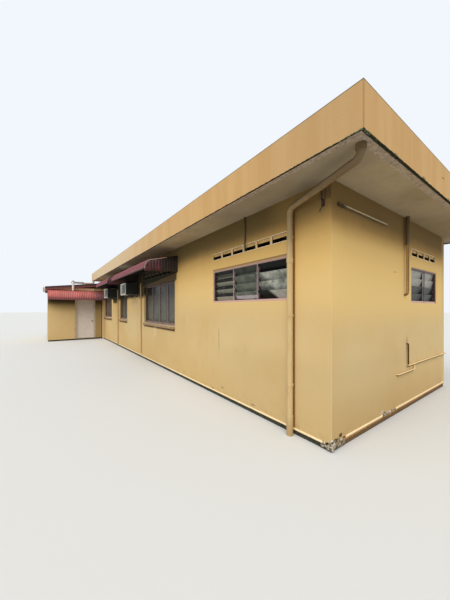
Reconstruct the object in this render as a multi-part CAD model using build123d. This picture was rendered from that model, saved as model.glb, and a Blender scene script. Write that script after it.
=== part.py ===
from build123d import *
import math
import os
from collections import namedtuple

os.makedirs("parts", exist_ok=True)

# Sizes are in millimetres. While the house is being built up, x is 0 at the end wall and falls
# along the long wall, y is 0 at the face of the long wall and rises to the back, z is 0 at the ground.

# Main block: its length is the sum of the stretches of the long wall given below
block_width = 4100
wall_thickness = 150
floor_height = 70
plinth_recess = 10
ceiling_height = 3045

# Flat roof and its tall concrete fascia
overhang_end = 603
overhang_side = 547
slab_thickness = 125
fascia_thickness = 75
fascia_height = 396
fascia_drop = 19
fascia_lip = 18
drip_width = 22
drip_depth = 18

# Stretches of the long wall in turn, from the end wall to the wing
corner_to_louvre = 600
side_louvre_width = 1800
louvre_to_big_window = 1725
big_window_width = 2320
big_to_middle_window = 2020
middle_window_width = 1185
middle_to_far_window = 1530
far_window_width = 1800
far_window_to_wing = 220

# Casement windows
window_foot = 1080
window_head = 2310
big_window_bays = 4
middle_window_bays = 2
far_window_bays = 3
wing_window_bays = 2
wing_window_to_block = 200
wing_window_width = 1200
frame_recess = 55
frame_depth = 60
frame_face = 42
mullion_depth = 30
mullion_face = 24
glass_thickness = 6
sill_height = 90
sill_projection = 40
sill_slope_drop = 16

# Louvre windows
side_louvre_to_vent = 205
end_louvre_to_vent = 215
louvre_height = 590
side_louvre_bays = 3
end_louvre_bays = 2
end_louvre_width = 1274
end_louvre_to_corner = 498
louvre_recess = 10
louvre_frame_depth = 90
louvre_frame_face = 32
louvre_mullion_depth = 40
louvre_mullion_face = 16
louvre_blades = 4
blade_thickness = 6
blade_clearance = 2
side_blade_tilt = 32
end_blade_tilt = 14

# Air vents over the window heads
vent_width = 262
vent_post = 38
vent_height = 106
head_to_vent = 195
side_vents = 6
side_vent_inset = 5
big_window_vents = 7
big_window_vent_inset = 70
end_vents = 4
end_vent_inset = 17
end_vent_drop = 26

# Cross wing at the far end
wing_depth = 3000
wing_projection = 2450
wing_pitch = 6.65
wing_eave_drop = 418
wing_eave_overhang = 100
wing_verge_overhang = 100
wing_roof_thickness = 40
barge_thickness = 20
barge_depth = 150
barge_rise = 12
gutter_width = 100
gutter_depth = 80
gutter_wall = 5

# Wing door and the open doorway behind it
door_to_block = 400
door_frame_width = 930
door_frame_top = 2120
door_jamb = 65
door_frame_depth = 110
door_frame_recess = 20
door_stop_width = 12
door_leaf_thickness = 40
door_gap = 5
threshold_height = 15
inner_door_start = 1600
inner_door_width = 900
inner_door_height = 2100
low_hinge_foot = 300
top_hinge_drop = 255
hinge_length = 100
hinge_plate = 30
hinge_plate_thickness = 3
hinge_offset = 8
hinge_radius = 7
hinge_pin_radius = 4
hinge_pin_clearance = 0.3
hinge_joint_gap = 0.5
knob_height = 950
knob_backset = 65
knob_radius = 27
knob_length = 30
knob_bevel = 9
knob_neck_radius = 10
knob_neck_length = 26
rose_radius = 32
rose_thickness = 6

# Awnings of ribbed sheet with a rounded lip
awning_to_ceiling = 185
awning_projection = 800
awning_slope = 13.3
awning_bend = 195
awning_lip_drop = 372
awning_cheek_drop = 380
awning_cheek_front_drop = 425
near_awning_near_lap = 165
near_awning_far_lap = 755
far_awning_near_lap = 565
far_awning_far_lap = 600
wing_awning_margin = 20
wing_awning_lap = 11
wing_awning_projection = 600
wing_awning_slope = 12
wing_awning_bend = 350
wing_awning_lip_drop = 485
wing_awning_cheek_drop = 440
bend_steps = 5
sheet_thickness = 4
rib_pitch = 160
rib_width = 34
rib_rise = 14
cheek_thickness = 4
cheek_rib_pitch = 80
cheek_rib_width = 26
cheek_rib_rise = 8
cheek_rib_inset = 20
awning_bar = 25
awning_bar_drop = 110

# Window air conditioners
cooler_width = 690
cooler_height = 385
cheek_to_cooler = 35
cooler_reach = 420
cooler_inside = 90
near_cooler_gap = 565
far_cooler_gap = 300
cooler_rim = 25
cooler_grille_depth = 25
cooler_slat = 8
cooler_slats = 12
cooler_side_slots = 7
cooler_slot_depth = 4
cooler_slot_front = 63
cooler_slot_back = 126
bracket_thickness = 5
bracket_width = 30
bracket_height = 70
bracket_inset = 90

# Rain and waste pipes
downpipe_radius = 37
downpipe_to_corner = 537
downpipe_clearance = 21
downpipe_elbow_drop = 175
outlet_end_inset = 46
outlet_side_inset = 132
outlet_drop = 120
outlet_socket_rise = 8
outlet_socket_height = 45
pipe_bend = 70
collar_rise = 5
collar_height = 60
downpipe_joint_foot = 2180
foot_socket_height = 250
clip_height = 28
clip_thickness = 4
clip_clearance = 0.3
downpipe_clips = [620, 1500]
top_clip_drop = 370
drain_pipe_radius = 22
drain_pipe_clearance = 8
near_drain_gap = 245
near_drain_foot = 160
far_drain_gap = 210
far_drain_foot = 80
drain_pipe_drop = 80
drain_clips = [700, 1800]
corner_pipe_radius = 30
corner_pipe_drop = 200
end_pipe_gap = 285
end_pipe_radius = 40
end_pipe_clearance = 9
end_pipe_length = 345
end_pipe_reducer_height = 60
thin_pipe_radius = 21
thin_pipe_foot = 1800

# Water pipe of the end wall, and conduits
water_pipe_radius = 11
water_pipe_clearance = 13
water_pipe_height = 690
water_branch_offset = 352
water_branch_drop = 90
water_branch_reach = 655
water_pipe_return = 400
water_tee_radius = 15
water_tee_length = 56
conduit_radius = 10
conduit_clearance = 4
vent_conduit_offset = 7
corner_conduit_offsets = [34, 84, 126]
corner_conduit_length = 200

# Strip lamp on the end wall
lamp_to_corner = 155
lamp_length = 1180
lamp_drop = 275
lamp_body_width = 26
lamp_body_depth = 24
lamp_tube_radius = 8
lamp_tube_gap = 3
lamp_holder_length = 20
lamp_box = 40

# Roof water pipe over the wing
roof_pipe_radius = 50
roof_pipe_clearance = 22
roof_pipe_exit_y = -440
roof_pipe_exit_drop = 172
roof_pipe_back = 200
roof_pipe_run = 980
roof_pipe_foot_clearance = 2
roof_pipe_support_width = 40

# Values worked out from the ones above
Opening = namedtuple("Opening", "low high foot head bays")
Awning = namedtuple("Awning", "start length wall_top projection slope bend lip cheek_foot cheek_front")


def long_wall_opening(high, width, foot, head, bays):
    # An opening whose edge nearer to the end wall is at x = high.
    return Opening(high - width, high, foot, head, bays)


vent_foot = window_head + head_to_vent
side_louvre_head = vent_foot - side_louvre_to_vent
end_louvre_head = vent_foot - end_louvre_to_vent
side_louvre = long_wall_opening(-corner_to_louvre, side_louvre_width, side_louvre_head - louvre_height,
                                side_louvre_head, side_louvre_bays)
big_window = long_wall_opening(side_louvre.low - louvre_to_big_window, big_window_width,
                               window_foot, window_head, big_window_bays)
middle_window = long_wall_opening(big_window.low - big_to_middle_window, middle_window_width,
                                  window_foot, window_head, middle_window_bays)
far_window = long_wall_opening(middle_window.low - middle_to_far_window, far_window_width,
                               window_foot, window_head, far_window_bays)
wing_window = long_wall_opening(-wing_window_to_block, wing_window_width,
                                window_foot, window_head, wing_window_bays)
end_louvre = long_wall_opening(block_width - end_louvre_to_corner, end_louvre_width,
                               end_louvre_head - louvre_height, end_louvre_head, end_louvre_bays)
casement_windows = [big_window, middle_window, far_window]
vent_pitch = vent_width + vent_post
end_vent_foot = vent_foot - end_vent_drop
side_vent_start = side_louvre.low + side_vent_inset
big_window_vent_start = big_window.low + big_window_vent_inset
end_vent_start = end_louvre.low + end_vent_inset

roof_top = ceiling_height - fascia_drop + fascia_height
block_end = far_window.low - far_window_to_wing
wall_back = block_end - wall_thickness
wing_end = block_end - wing_depth
wing_front = -wing_projection
roof_low_y = -overhang_side
roof_high_y = block_width + overhang_side
wing_middle = (wing_front + block_width) / 2
wing_slope = math.tan(math.radians(wing_pitch))
wing_eave_top = ceiling_height - wing_eave_drop
wing_eave_y = wing_front - wing_eave_overhang
wing_back_eave_y = block_width + wing_eave_overhang
roof_plate_drop = wing_roof_thickness / math.cos(math.radians(wing_pitch))
verge_x = block_end + wing_verge_overhang
far_verge_x = wing_end - wing_verge_overhang

door_frame_high = -door_to_block
door_frame_low = door_frame_high - door_frame_width
leaf_low = door_frame_low + door_jamb
leaf_high = door_frame_high - door_jamb
leaf_back = block_end - door_frame_recess - door_frame_depth
leaf_face = leaf_back + door_leaf_thickness
leaf_foot = floor_height + threshold_height + door_gap
leaf_top = door_frame_top - door_jamb
top_hinge_foot = leaf_top - top_hinge_drop
hinge_feet = [low_hinge_foot, (low_hinge_foot + top_hinge_foot) / 2, top_hinge_foot]
hinge_x = leaf_back - hinge_offset
hinge_y = leaf_low

awning_top = ceiling_height - awning_to_ceiling
awning_lip = awning_top - awning_lip_drop
awning_cheek_foot = awning_top - awning_cheek_drop
awning_cheek_front = awning_top - awning_cheek_front_drop
near_awning = Awning(big_window.low - near_awning_far_lap,
                     near_awning_near_lap + big_window_width + near_awning_far_lap, awning_top,
                     awning_projection, awning_slope, awning_bend, awning_lip, awning_cheek_foot,
                     awning_cheek_front)
far_awning = Awning(middle_window.low - far_awning_far_lap,
                    far_awning_near_lap + middle_window_width + far_awning_far_lap, awning_top,
                    awning_projection, awning_slope, awning_bend, awning_lip, awning_cheek_foot,
                    awning_cheek_front)
wing_awning_top = wing_eave_top + barge_rise - barge_depth + wing_awning_lap
wing_awning = Awning(wing_front + wing_awning_margin, wing_projection - 2 * wing_awning_margin,
                     wing_awning_top, wing_awning_projection, wing_awning_slope, wing_awning_bend,
                     wing_awning_top - wing_awning_lip_drop, wing_awning_top - wing_awning_cheek_drop,
                     wing_awning_top - wing_awning_lip_drop)

cooler_foot = awning_cheek_foot - cheek_to_cooler - cooler_height
cooler_highs = [big_window.low - near_cooler_gap, middle_window.low - far_cooler_gap]
downpipe_x = -downpipe_to_corner
downpipe_standoff = downpipe_radius + downpipe_clearance
downpipe_elbow_height = ceiling_height - downpipe_elbow_drop
outlet_x = overhang_end - fascia_thickness - outlet_end_inset
outlet_y = roof_low_y + fascia_thickness + outlet_side_inset
drain_pipe_standoff = drain_pipe_radius + drain_pipe_clearance
drain_pipe_xs = [big_window.low - near_drain_gap, middle_window.low - far_drain_gap]
drain_pipe_foots = [near_drain_foot, far_drain_foot]
drain_pipe_top = awning_cheek_foot - drain_pipe_drop
corner_pipe_standoff = corner_pipe_radius + clip_clearance
corner_pipe_top = wing_awning_top - corner_pipe_drop
end_pipe_y = end_louvre.low - end_pipe_gap
end_pipe_standoff = end_pipe_radius + end_pipe_clearance
water_pipe_standoff = water_pipe_radius + water_pipe_clearance
water_branch_y = end_pipe_y + water_branch_offset
water_branch_end = water_branch_y - water_branch_reach
conduit_standoff = conduit_radius + conduit_clearance
lamp_height = ceiling_height - lamp_drop

nodes = {}


def block(x_low, x_high, y_low, y_high, z_low, z_high):
    # A plain block between two opposite corners.
    centre = ((x_low + x_high) / 2, (y_low + y_high) / 2, (z_low + z_high) / 2)
    return Pos(*centre) * Box(x_high - x_low, y_high - y_low, z_high - z_low)


def prism_along_x(points, x_low, x_high):
    # A (y, z) outline carried from x_low to x_high.
    face = Plane.YZ.offset(x_low) * Polygon(*points, align=None)
    return extrude(face, x_high - x_low, dir=(1, 0, 0))


def upright_rod(x, y, radius, z_low, z_high):
    return Pos(x, y, (z_low + z_high) / 2) * Cylinder(radius, z_high - z_low)


def bent_pipe(points, radius, bend):
    # A round pipe along straight runs joined by bends of one radius.
    path = FilletPolyline(*points, radius=bend)
    start = Plane(origin=path @ 0, z_dir=path % 0)
    return sweep(start * Circle(radius), path=path)


def elbowed_pipe(points, radius):
    # A round pipe whose straight runs meet in square elbows.
    path = Polyline(*points)
    start = Plane(origin=path @ 0, z_dir=path % 0)
    return sweep(start * Circle(radius), path=path, transition=Transition.RIGHT)


def fused(shapes):
    total = shapes[0]
    for shape in shapes[1:]:
        total = total + shape
    return total


def bay_edges(opening, face, mullion):
    # Low and high edge of each clear bay, for the face widths of the outer frame and of its mullions.
    clear = (opening.high - opening.low - 2 * face - (opening.bays - 1) * mullion) / opening.bays
    lows = [opening.low + face + number * (clear + mullion) for number in range(opening.bays)]
    return [(low, low + clear) for low in lows]


def vent_lows(start, count):
    return [start + number * vent_pitch for number in range(count)]


def wing_roof_top(y):
    # Height of the wing roof's upper face: it rises at the pitch from each eave to the ridge.
    return wing_eave_top + wing_slope * (wing_middle - wing_eave_y - abs(y - wing_middle))


def wing_roof_underside(y):
    return wing_roof_top(y) - roof_plate_drop


def long_wall(y_low):
    # A long wall with its window openings, air conditioner openings and vents cut through.
    y_high = y_low + wall_thickness
    wall = block(block_end, 0, y_low, y_high, floor_height, ceiling_height)
    holes = [(hole.low, hole.high, hole.foot, hole.head) for hole in casement_windows + [side_louvre]]
    vents = vent_lows(side_vent_start, side_vents) + vent_lows(big_window_vent_start, big_window_vents)
    for low in vents:
        holes.append((low, low + vent_width, vent_foot, vent_foot + vent_height))
    if y_low == 0:
        for high in cooler_highs:
            holes.append((high - cooler_width, high, cooler_foot, cooler_foot + cooler_height))
    for low, high, foot, head in holes:
        wall = wall - block(low, high, y_low, y_high, foot, head)
    return wall


def end_wall():
    wall = block(-wall_thickness, 0, wall_thickness, block_width - wall_thickness,
                 floor_height, ceiling_height)
    wall = wall - block(-wall_thickness, 0, end_louvre.low, end_louvre.high,
                        end_louvre.foot, end_louvre.head)
    for low in vent_lows(end_vent_start, end_vents):
        wall = wall - block(-wall_thickness, 0, low, low + vent_width,
                            end_vent_foot, end_vent_foot + vent_height)
    return wall


def inner_wall():
    # The main block's far end, which the wing is built against, with an open doorway.
    wall = block(wall_back, block_end, 0, block_width, floor_height, ceiling_height)
    return wall - block(wall_back, block_end, inner_door_start, inner_door_start + inner_door_width,
                        floor_height, floor_height + inner_door_height)


def floor_slab():
    return block(wall_back, -plinth_recess, plinth_recess, block_width - plinth_recess, 0, floor_height)


def wing_floor_slab():
    main = block(wing_end + plinth_recess, wall_back, wing_front + plinth_recess,
                 block_width - plinth_recess, 0, floor_height)
    strip = block(wall_back, block_end - plinth_recess, wing_front + plinth_recess, plinth_recess,
                  0, floor_height)
    return main + strip


def roof_slab():
    # Flat slab inside the fascia.
    return block(wall_back + fascia_thickness, overhang_end - fascia_thickness,
                 roof_low_y + fascia_thickness, roof_high_y - fascia_thickness,
                 ceiling_height, ceiling_height + slab_thickness)


def under_eaves(inset, foot, head):
    # The block inside the fascia's outer faces, inset from the three open sides of the roof.
    return block(wall_back, overhang_end - inset, roof_low_y + inset, roof_high_y - inset, foot, head)


def fascias():
    # Bands round the slab; the open ones hang down in a thin outer lip with a drip groove behind it.
    foot = ceiling_height - fascia_drop
    groove_top = ceiling_height + drip_depth
    groove = (under_eaves(fascia_lip, ceiling_height, groove_top)
              - under_eaves(fascia_lip + drip_width, ceiling_height, groove_top))
    cut = under_eaves(fascia_lip, foot, ceiling_height) + groove
    inner_low = roof_low_y + fascia_thickness
    inner_high = roof_high_y - fascia_thickness
    end = block(overhang_end - fascia_thickness, overhang_end, inner_low, inner_high, foot, roof_top)
    return {
        "fascia_front": block(wall_back, overhang_end, roof_low_y, inner_low, foot, roof_top) - cut,
        "fascia_back": block(wall_back, overhang_end, inner_high, roof_high_y, foot, roof_top) - cut,
        "fascia_end": end - cut,
        "fascia_far": block(wall_back, wall_back + fascia_thickness, inner_low, inner_high,
                            ceiling_height, roof_top),
    }


def bayed_frame(opening, foot, outer, mullion):
    # Outer frame, given by its recess, depth and face width, with slim mullions in its middle, given
    # by their depth and face width.
    recess, depth, face = outer
    slim_depth, slim_face = mullion
    y_edges = (recess, recess + depth)
    frame = block(opening.low, opening.high, *y_edges, foot, opening.head)
    frame = frame - block(opening.low + face, opening.high - face, *y_edges,
                          foot + face, opening.head - face)
    slim_low = recess + (depth - slim_depth) / 2
    for low, high in bay_edges(opening, face, slim_face)[:-1]:
        frame = frame + block(high, high + slim_face, slim_low, slim_low + slim_depth,
                              foot + face, opening.head - face)
    return frame


def window_frame(opening):
    # Outer frame of a fixed casement row in the front wall, standing on the sill.
    return bayed_frame(opening, opening.foot + sill_height, (frame_recess, frame_depth, frame_face),
                       (mullion_depth, mullion_face))


def window_panes(opening):
    y_middle = frame_recess + frame_depth / 2
    y_edges = (y_middle - glass_thickness / 2, y_middle + glass_thickness / 2)
    z_edges = (opening.foot + sill_height + frame_face, opening.head - frame_face)
    bays = bay_edges(opening, frame_face, mullion_face)
    return [block(low, high, *y_edges, *z_edges) for low, high in bays]


def window_sill(opening):
    # Sill of a front window: it fills the foot of the opening and slopes down past the wall face.
    top = opening.foot + sill_height
    outline = [(-sill_projection, opening.foot), (wall_thickness, opening.foot), (wall_thickness, top),
               (frame_recess, top), (-sill_projection, top - sill_slope_drop)]
    return prism_along_x(outline, opening.low, opening.high)


def to_back_wall(shape):
    # The back wall repeats the front one, so its pieces are mirrored across the block's middle.
    return mirror(shape, about=Plane.XZ.offset(-block_width / 2))


def louvre_frame(opening):
    # Deep outer frame of a louvre window, set in the front wall.
    return bayed_frame(opening, opening.foot, (louvre_recess, louvre_frame_depth, louvre_frame_face),
                       (louvre_mullion_depth, louvre_mullion_face))


def louvre_glass(opening, tilt):
    # Tilted glass blades, each with its lower edge to the outside, held at both ends. They are as
    # wide as their tilt lets them be between one blade's pitch and the next.
    clear_foot = opening.foot + louvre_frame_face
    pitch = (opening.head - opening.foot - 2 * louvre_frame_face) / louvre_blades
    blade_width = (pitch - 2 * blade_clearance) / math.cos(math.radians(tilt))
    y_middle = louvre_recess + louvre_frame_depth / 2
    blades = []
    for low, high in bay_edges(opening, louvre_frame_face, louvre_mullion_face):
        blade = Rot(tilt, 0, 0) * Box(high - low, blade_thickness, blade_width)
        for number in range(louvre_blades):
            blades.append(Pos((low + high) / 2, y_middle, clear_foot + (number + 0.5) * pitch) * blade)
    return blades


def to_end_wall(shape):
    # Turns a front wall piece onto the end wall: x becomes y, and the depth runs inward.
    return Rot(0, 0, 90) * shape


def to_wing_far_wall(shape):
    # Turns a front wall piece onto the wing's far wall: x becomes -y.
    return Pos(wing_end, 0, 0) * Rot(0, 0, -90) * shape


def awning_outline(awning, shift):
    # Side view of the skin from the wall to the lip, moved outwards by shift: a straight slope,
    # then points round the bend's centre at equal steps of angle, then straight down to the lip.
    slope = math.radians(awning.slope)
    centre_y = -awning.projection + awning.bend
    slope_end_y = centre_y - awning.bend * math.sin(slope)
    centre_z = awning.wall_top + slope_end_y * math.tan(slope) - awning.bend * math.cos(slope)
    radius = awning.bend + shift
    points = [(0, awning.wall_top + shift / math.cos(slope))]
    for step in range(bend_steps + 1):
        angle = slope + (math.pi / 2 - slope) * step / bend_steps
        points.append((centre_y - radius * math.sin(angle), centre_z + radius * math.cos(angle)))
    return points + [(centre_y - radius, awning.lip)]


def awning_strip(awning, inner_shift, outer_shift, start, width):
    # A stretch of skin between two shifts, from start along the awning.
    outline = awning_outline(awning, outer_shift) + awning_outline(awning, inner_shift)[::-1]
    return prism_along_x(outline, start, start + width)


def awning_sheet(awning):
    # The rolled sheet with raised ribs running from the wall round to the lip.
    skin = awning_strip(awning, -sheet_thickness, 0, 0, awning.length)
    ribs = int((awning.length - rib_width) / rib_pitch) + 1
    first = (awning.length - (ribs - 1) * rib_pitch - rib_width) / 2
    for number in range(ribs):
        start = first + number * rib_pitch
        skin = skin + awning_strip(awning, -sheet_thickness / 2, rib_rise, start, rib_width)
    return skin


def awning_cheek(awning, outward):
    # Side panel at x = 0 with upright ribs on its outer face; outward is -1 or 1.
    curve = awning_outline(awning, -sheet_thickness)
    outline = curve[:-1] + [(curve[-1][0], awning.cheek_front), (0, awning.cheek_foot)]
    panel = prism_along_x(outline, *sorted([0, -outward * cheek_thickness]))
    ribbed = prism_along_x(outline, *sorted([0, outward * cheek_rib_rise]))
    ribs = int(awning.projection / cheek_rib_pitch)
    for number in range(ribs):
        y_high = -cheek_rib_inset - number * cheek_rib_pitch
        x_edges = sorted([0, outward * cheek_rib_rise])
        bar = block(*x_edges, y_high - cheek_rib_width, y_high, awning.cheek_front, awning.wall_top)
        panel = panel + (ribbed & bar)
    return panel


def awning_frame(awning):
    # Wall rail, lip rail and arms of square bar under the sheet.
    lip_y = -awning.projection + sheet_thickness
    lip_z = awning.lip
    rail_z = awning.wall_top - awning_bar_drop
    clear = cheek_thickness
    bars = [block(clear, awning.length - clear, -awning_bar, 0, rail_z - awning_bar, rail_z),
            block(clear, awning.length - clear, lip_y, lip_y + awning_bar, lip_z, lip_z + awning_bar)]
    arm = [(-awning_bar, rail_z - awning_bar), (-awning_bar, rail_z),
           (lip_y + awning_bar, lip_z + awning_bar), (lip_y + awning_bar, lip_z)]
    for x_low in (clear, (awning.length - awning_bar) / 2, awning.length - clear - awning_bar):
        bars.append(prism_along_x(arm, x_low, x_low + awning_bar))
    return fused(bars)


def on_long_wall(shape, x):
    return Pos(x, 0, 0) * shape


def on_wing_wall(shape, y):
    return Pos(block_end, y, 0) * Rot(0, 0, 90) * shape


def cooler(high):
    # Window air conditioner: cased body through the wall, slatted outer face, side slots.
    low = high - cooler_width
    head = cooler_foot + cooler_height
    face = -cooler_reach
    grille_back = face + cooler_grille_depth
    body = block(low, high, face, wall_thickness + cooler_inside, cooler_foot, head)
    body = body - block(low + cooler_rim, high - cooler_rim, face, grille_back,
                        cooler_foot + cooler_rim, head - cooler_rim)
    pitch = (cooler_height - 2 * cooler_rim) / cooler_slats
    for number in range(cooler_slats):
        z_low = cooler_foot + cooler_rim + (number + 0.5) * pitch - cooler_slat / 2
        body = body + block(low + cooler_rim, high - cooler_rim, face + cooler_slat, grille_back,
                            z_low, z_low + cooler_slat)
    slot_pitch = (cooler_height - 2 * cooler_rim) / cooler_side_slots
    for number in range(cooler_side_slots):
        z_low = cooler_foot + cooler_rim + (number + 0.25) * slot_pitch
        for x_low in (low, high - cooler_slot_depth):
            body = body - block(x_low, x_low + cooler_slot_depth, face + cooler_slot_front,
                                -cooler_slot_back, z_low, z_low + slot_pitch / 2)
    return body


def cooler_brackets(high):
    # Two angle brackets, an arm and a strut each, under one air conditioner.
    top = cooler_foot
    reach = -cooler_reach + cooler_rim
    outline = [(0, top), (reach, top), (reach, top - bracket_thickness),
               (-bracket_width, top - bracket_height), (0, top - bracket_height)]
    under = top - bracket_thickness
    inner = [(-bracket_thickness, under), (reach + 2 * bracket_width, under),
             (-bracket_thickness, top - bracket_height + 2 * bracket_width)]
    brackets = []
    for x_low in (high - cooler_width + bracket_inset, high - bracket_inset - bracket_width):
        side = prism_along_x(outline, x_low, x_low + bracket_width)
        brackets.append(side - prism_along_x(inner, x_low, x_low + bracket_width))
    return brackets


def downpipe():
    # Roof outlet with its socket, slanting run under the eave, and the fall down the wall to the
    # foot socket.
    points = [(outlet_x, outlet_y, ceiling_height), (outlet_x, outlet_y, ceiling_height - outlet_drop),
              (downpipe_x, -downpipe_standoff, downpipe_elbow_height), (downpipe_x, -downpipe_standoff, 0)]
    pipe = bent_pipe(points, downpipe_radius, pipe_bend)
    for foot, head in ((0, foot_socket_height), (downpipe_joint_foot, downpipe_joint_foot + collar_height)):
        pipe = pipe + upright_rod(downpipe_x, -downpipe_standoff, downpipe_radius + collar_rise, foot, head)
    return pipe + upright_rod(outlet_x, outlet_y, downpipe_radius + outlet_socket_rise,
                              ceiling_height - outlet_socket_height, ceiling_height)


def wall_clip(x, standoff, radius, height):
    # Ring round a pipe with a tongue back to the long wall.
    ring = upright_rod(x, -standoff, radius + clip_clearance + clip_thickness, height, height + clip_height)
    tongue = block(x - clip_height / 2, x + clip_height / 2, -standoff, 0, height, height + clip_height)
    return ring + tongue - upright_rod(x, -standoff, radius + clip_clearance, height, height + clip_height)


def pipe_clips():
    heights = downpipe_clips + [downpipe_elbow_height - top_clip_drop]
    clips = [wall_clip(downpipe_x, downpipe_standoff, downpipe_radius, height) for height in heights]
    for x in drain_pipe_xs:
        clips += [wall_clip(x, drain_pipe_standoff, drain_pipe_radius, height) for height in drain_clips]
    return clips


def drain_pipes():
    # Drains on the long wall, each with a bend into the wall at the top, and the one in the wing corner.
    pipes = []
    for x, foot in zip(drain_pipe_xs, drain_pipe_foots):
        front = -drain_pipe_standoff
        pipes.append(elbowed_pipe([(x, front, foot), (x, front, drain_pipe_top), (x, 0, drain_pipe_top)],
                                  drain_pipe_radius))
    pipes.append(upright_rod(block_end + corner_pipe_standoff, -corner_pipe_standoff, corner_pipe_radius,
                             0, corner_pipe_top))
    return pipes


def end_pipe():
    # Wide pipe from the soffit, a reducer, and the thin pipe below it with its elbow to the wall.
    wide_foot = ceiling_height - end_pipe_length
    reducer_foot = wide_foot - end_pipe_reducer_height
    wide = upright_rod(end_pipe_standoff, end_pipe_y, end_pipe_radius, wide_foot, ceiling_height)
    reducer = (Pos(end_pipe_standoff, end_pipe_y, reducer_foot + end_pipe_reducer_height / 2)
               * Cone(thin_pipe_radius, end_pipe_radius, end_pipe_reducer_height))
    thin = upright_rod(end_pipe_standoff, end_pipe_y, thin_pipe_radius, thin_pipe_foot, reducer_foot)
    elbow = block(0, end_pipe_standoff, end_pipe_y - thin_pipe_radius, end_pipe_y + thin_pipe_radius,
                  thin_pipe_foot, thin_pipe_foot + 2 * thin_pipe_radius)
    return wide + reducer + thin + elbow


def water_pipe():
    # Small pipe down the end wall, along it and round the back corner, with one branch.
    x = water_pipe_standoff
    back = block_width + water_pipe_standoff
    main = elbowed_pipe([(x, end_pipe_y, thin_pipe_foot), (x, end_pipe_y, water_pipe_height),
                         (x, back, water_pipe_height), (-water_pipe_return, back, water_pipe_height),
                         (-water_pipe_return, block_width, water_pipe_height)], water_pipe_radius)
    collar = Rot(90, 0, 0) * Cylinder(water_tee_radius, water_tee_length)
    tee = Pos(x, water_branch_y, water_pipe_height) * collar
    branch_top = water_pipe_height - (water_pipe_radius + water_tee_radius) / 2
    branch_foot = water_pipe_height - water_branch_drop
    branch = elbowed_pipe([(x, water_branch_y, branch_top), (x, water_branch_y, branch_foot),
                           (x, water_branch_end, branch_foot), (0, water_branch_end, branch_foot)],
                          water_pipe_radius)
    return main + tee + branch


def conduits():
    # Thin conduits from the soffit: one to the vents, and a group of three beside the corner.
    vent_x = vent_lows(side_vent_start, side_vents)[3] + vent_conduit_offset
    rods = [upright_rod(vent_x, -conduit_standoff, conduit_radius, vent_foot + vent_height, ceiling_height)]
    for offset in corner_conduit_offsets:
        rods.append(upright_rod(-offset, -conduit_standoff, conduit_radius,
                                ceiling_height - corner_conduit_length, ceiling_height))
    return rods


def strip_lamp():
    # Lamp body with its two holders and switch box, and the tube between the holders.
    low = lamp_to_corner
    high = low + lamp_length
    body = block(0, lamp_body_depth, low, high, lamp_height, lamp_height + lamp_body_width)
    tube_x = lamp_body_depth + lamp_tube_radius + lamp_tube_gap
    tube_z = lamp_height + lamp_body_width / 2
    for y_low in (low, high - lamp_holder_length):
        body = body + block(lamp_body_depth, tube_x + lamp_tube_radius, y_low, y_low + lamp_holder_length,
                            tube_z - lamp_tube_radius, tube_z + lamp_tube_radius)
    switch_box = block(0, lamp_body_depth, low - lamp_box, low, lamp_height, lamp_height + lamp_box)
    tube = Cylinder(lamp_tube_radius, lamp_length - 2 * lamp_holder_length)
    return body + switch_box, Pos(tube_x, (low + high) / 2, tube_z) * Rot(90, 0, 0) * tube


def wing_wall_across(x_low, x_high, y_low, y_high, foot):
    # A wall along y whose top follows the wing roof, with a peak where it passes the ridge.
    outline = [(y_low, foot), (y_high, foot), (y_high, wing_roof_underside(y_high))]
    if y_low < wing_middle < y_high:
        outline.append((wing_middle, wing_roof_underside(wing_middle)))
    outline.append((y_low, wing_roof_underside(y_low)))
    return prism_along_x(outline, x_low, x_high)


def wing_walls():
    inner_front = wing_front + wall_thickness
    inner_back = block_width - wall_thickness
    far = wing_wall_across(wing_end, wing_end + wall_thickness, wing_front, block_width, floor_height)
    far = far - block(wing_end, wing_end + wall_thickness, -wing_window.high, -wing_window.low,
                      wing_window.foot, wing_window.head)
    inner_x = wing_end + wall_thickness
    return {
        "wing_wall_left": wing_wall_across(wall_back, block_end, wing_front, door_frame_low, floor_height),
        "wing_wall_right": wing_wall_across(wall_back, block_end, door_frame_high, 0, floor_height),
        "wing_wall_over_door": wing_wall_across(wall_back, block_end, door_frame_low, door_frame_high,
                                                door_frame_top),
        "wing_side_wall": wing_wall_across(inner_x, wall_back, wing_front, inner_front, floor_height),
        "wing_back_wall": wing_wall_across(inner_x, wall_back, inner_back, block_width, floor_height),
        "wing_far_wall": far,
    }


def wing_roof():
    # Low gable roof; it stops at the main block and runs out to a verge in front of it.
    def slope_outline(points):
        top = [(y, wing_roof_top(y)) for y in points]
        under = [(y, wing_roof_underside(y)) for y in reversed(points)]
        return top + under
    whole = prism_along_x(slope_outline([wing_eave_y, wing_middle, wing_back_eave_y]), far_verge_x, wall_back)
    front = prism_along_x(slope_outline([wing_eave_y, 0]), wall_back, verge_x)
    return whole + front


def bargeboards():
    def board(points, x_low):
        top = [(y, wing_roof_top(y) + barge_rise) for y in points]
        under = [(y, wing_roof_top(y) + barge_rise - barge_depth) for y in reversed(points)]
        return prism_along_x(top + under, x_low, x_low + barge_thickness)
    return [board([wing_eave_y, 0], verge_x),
            board([wing_eave_y, wing_middle, wing_back_eave_y], far_verge_x - barge_thickness)]


def gutter(eave_y, outward, x_high):
    # Open box gutter along an eave; outward is the y direction that it faces.
    x_low = far_verge_x - barge_thickness
    top = wing_eave_top
    outer = eave_y + outward * gutter_width
    trough = block(x_low, x_high, *sorted([eave_y, outer]), top - gutter_depth, top)
    inside = sorted([eave_y + outward * gutter_wall, outer - outward * gutter_wall])
    inside_foot = top - gutter_depth + gutter_wall
    return trough - block(x_low + gutter_wall, x_high - gutter_wall, *inside, inside_foot, top)


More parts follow.
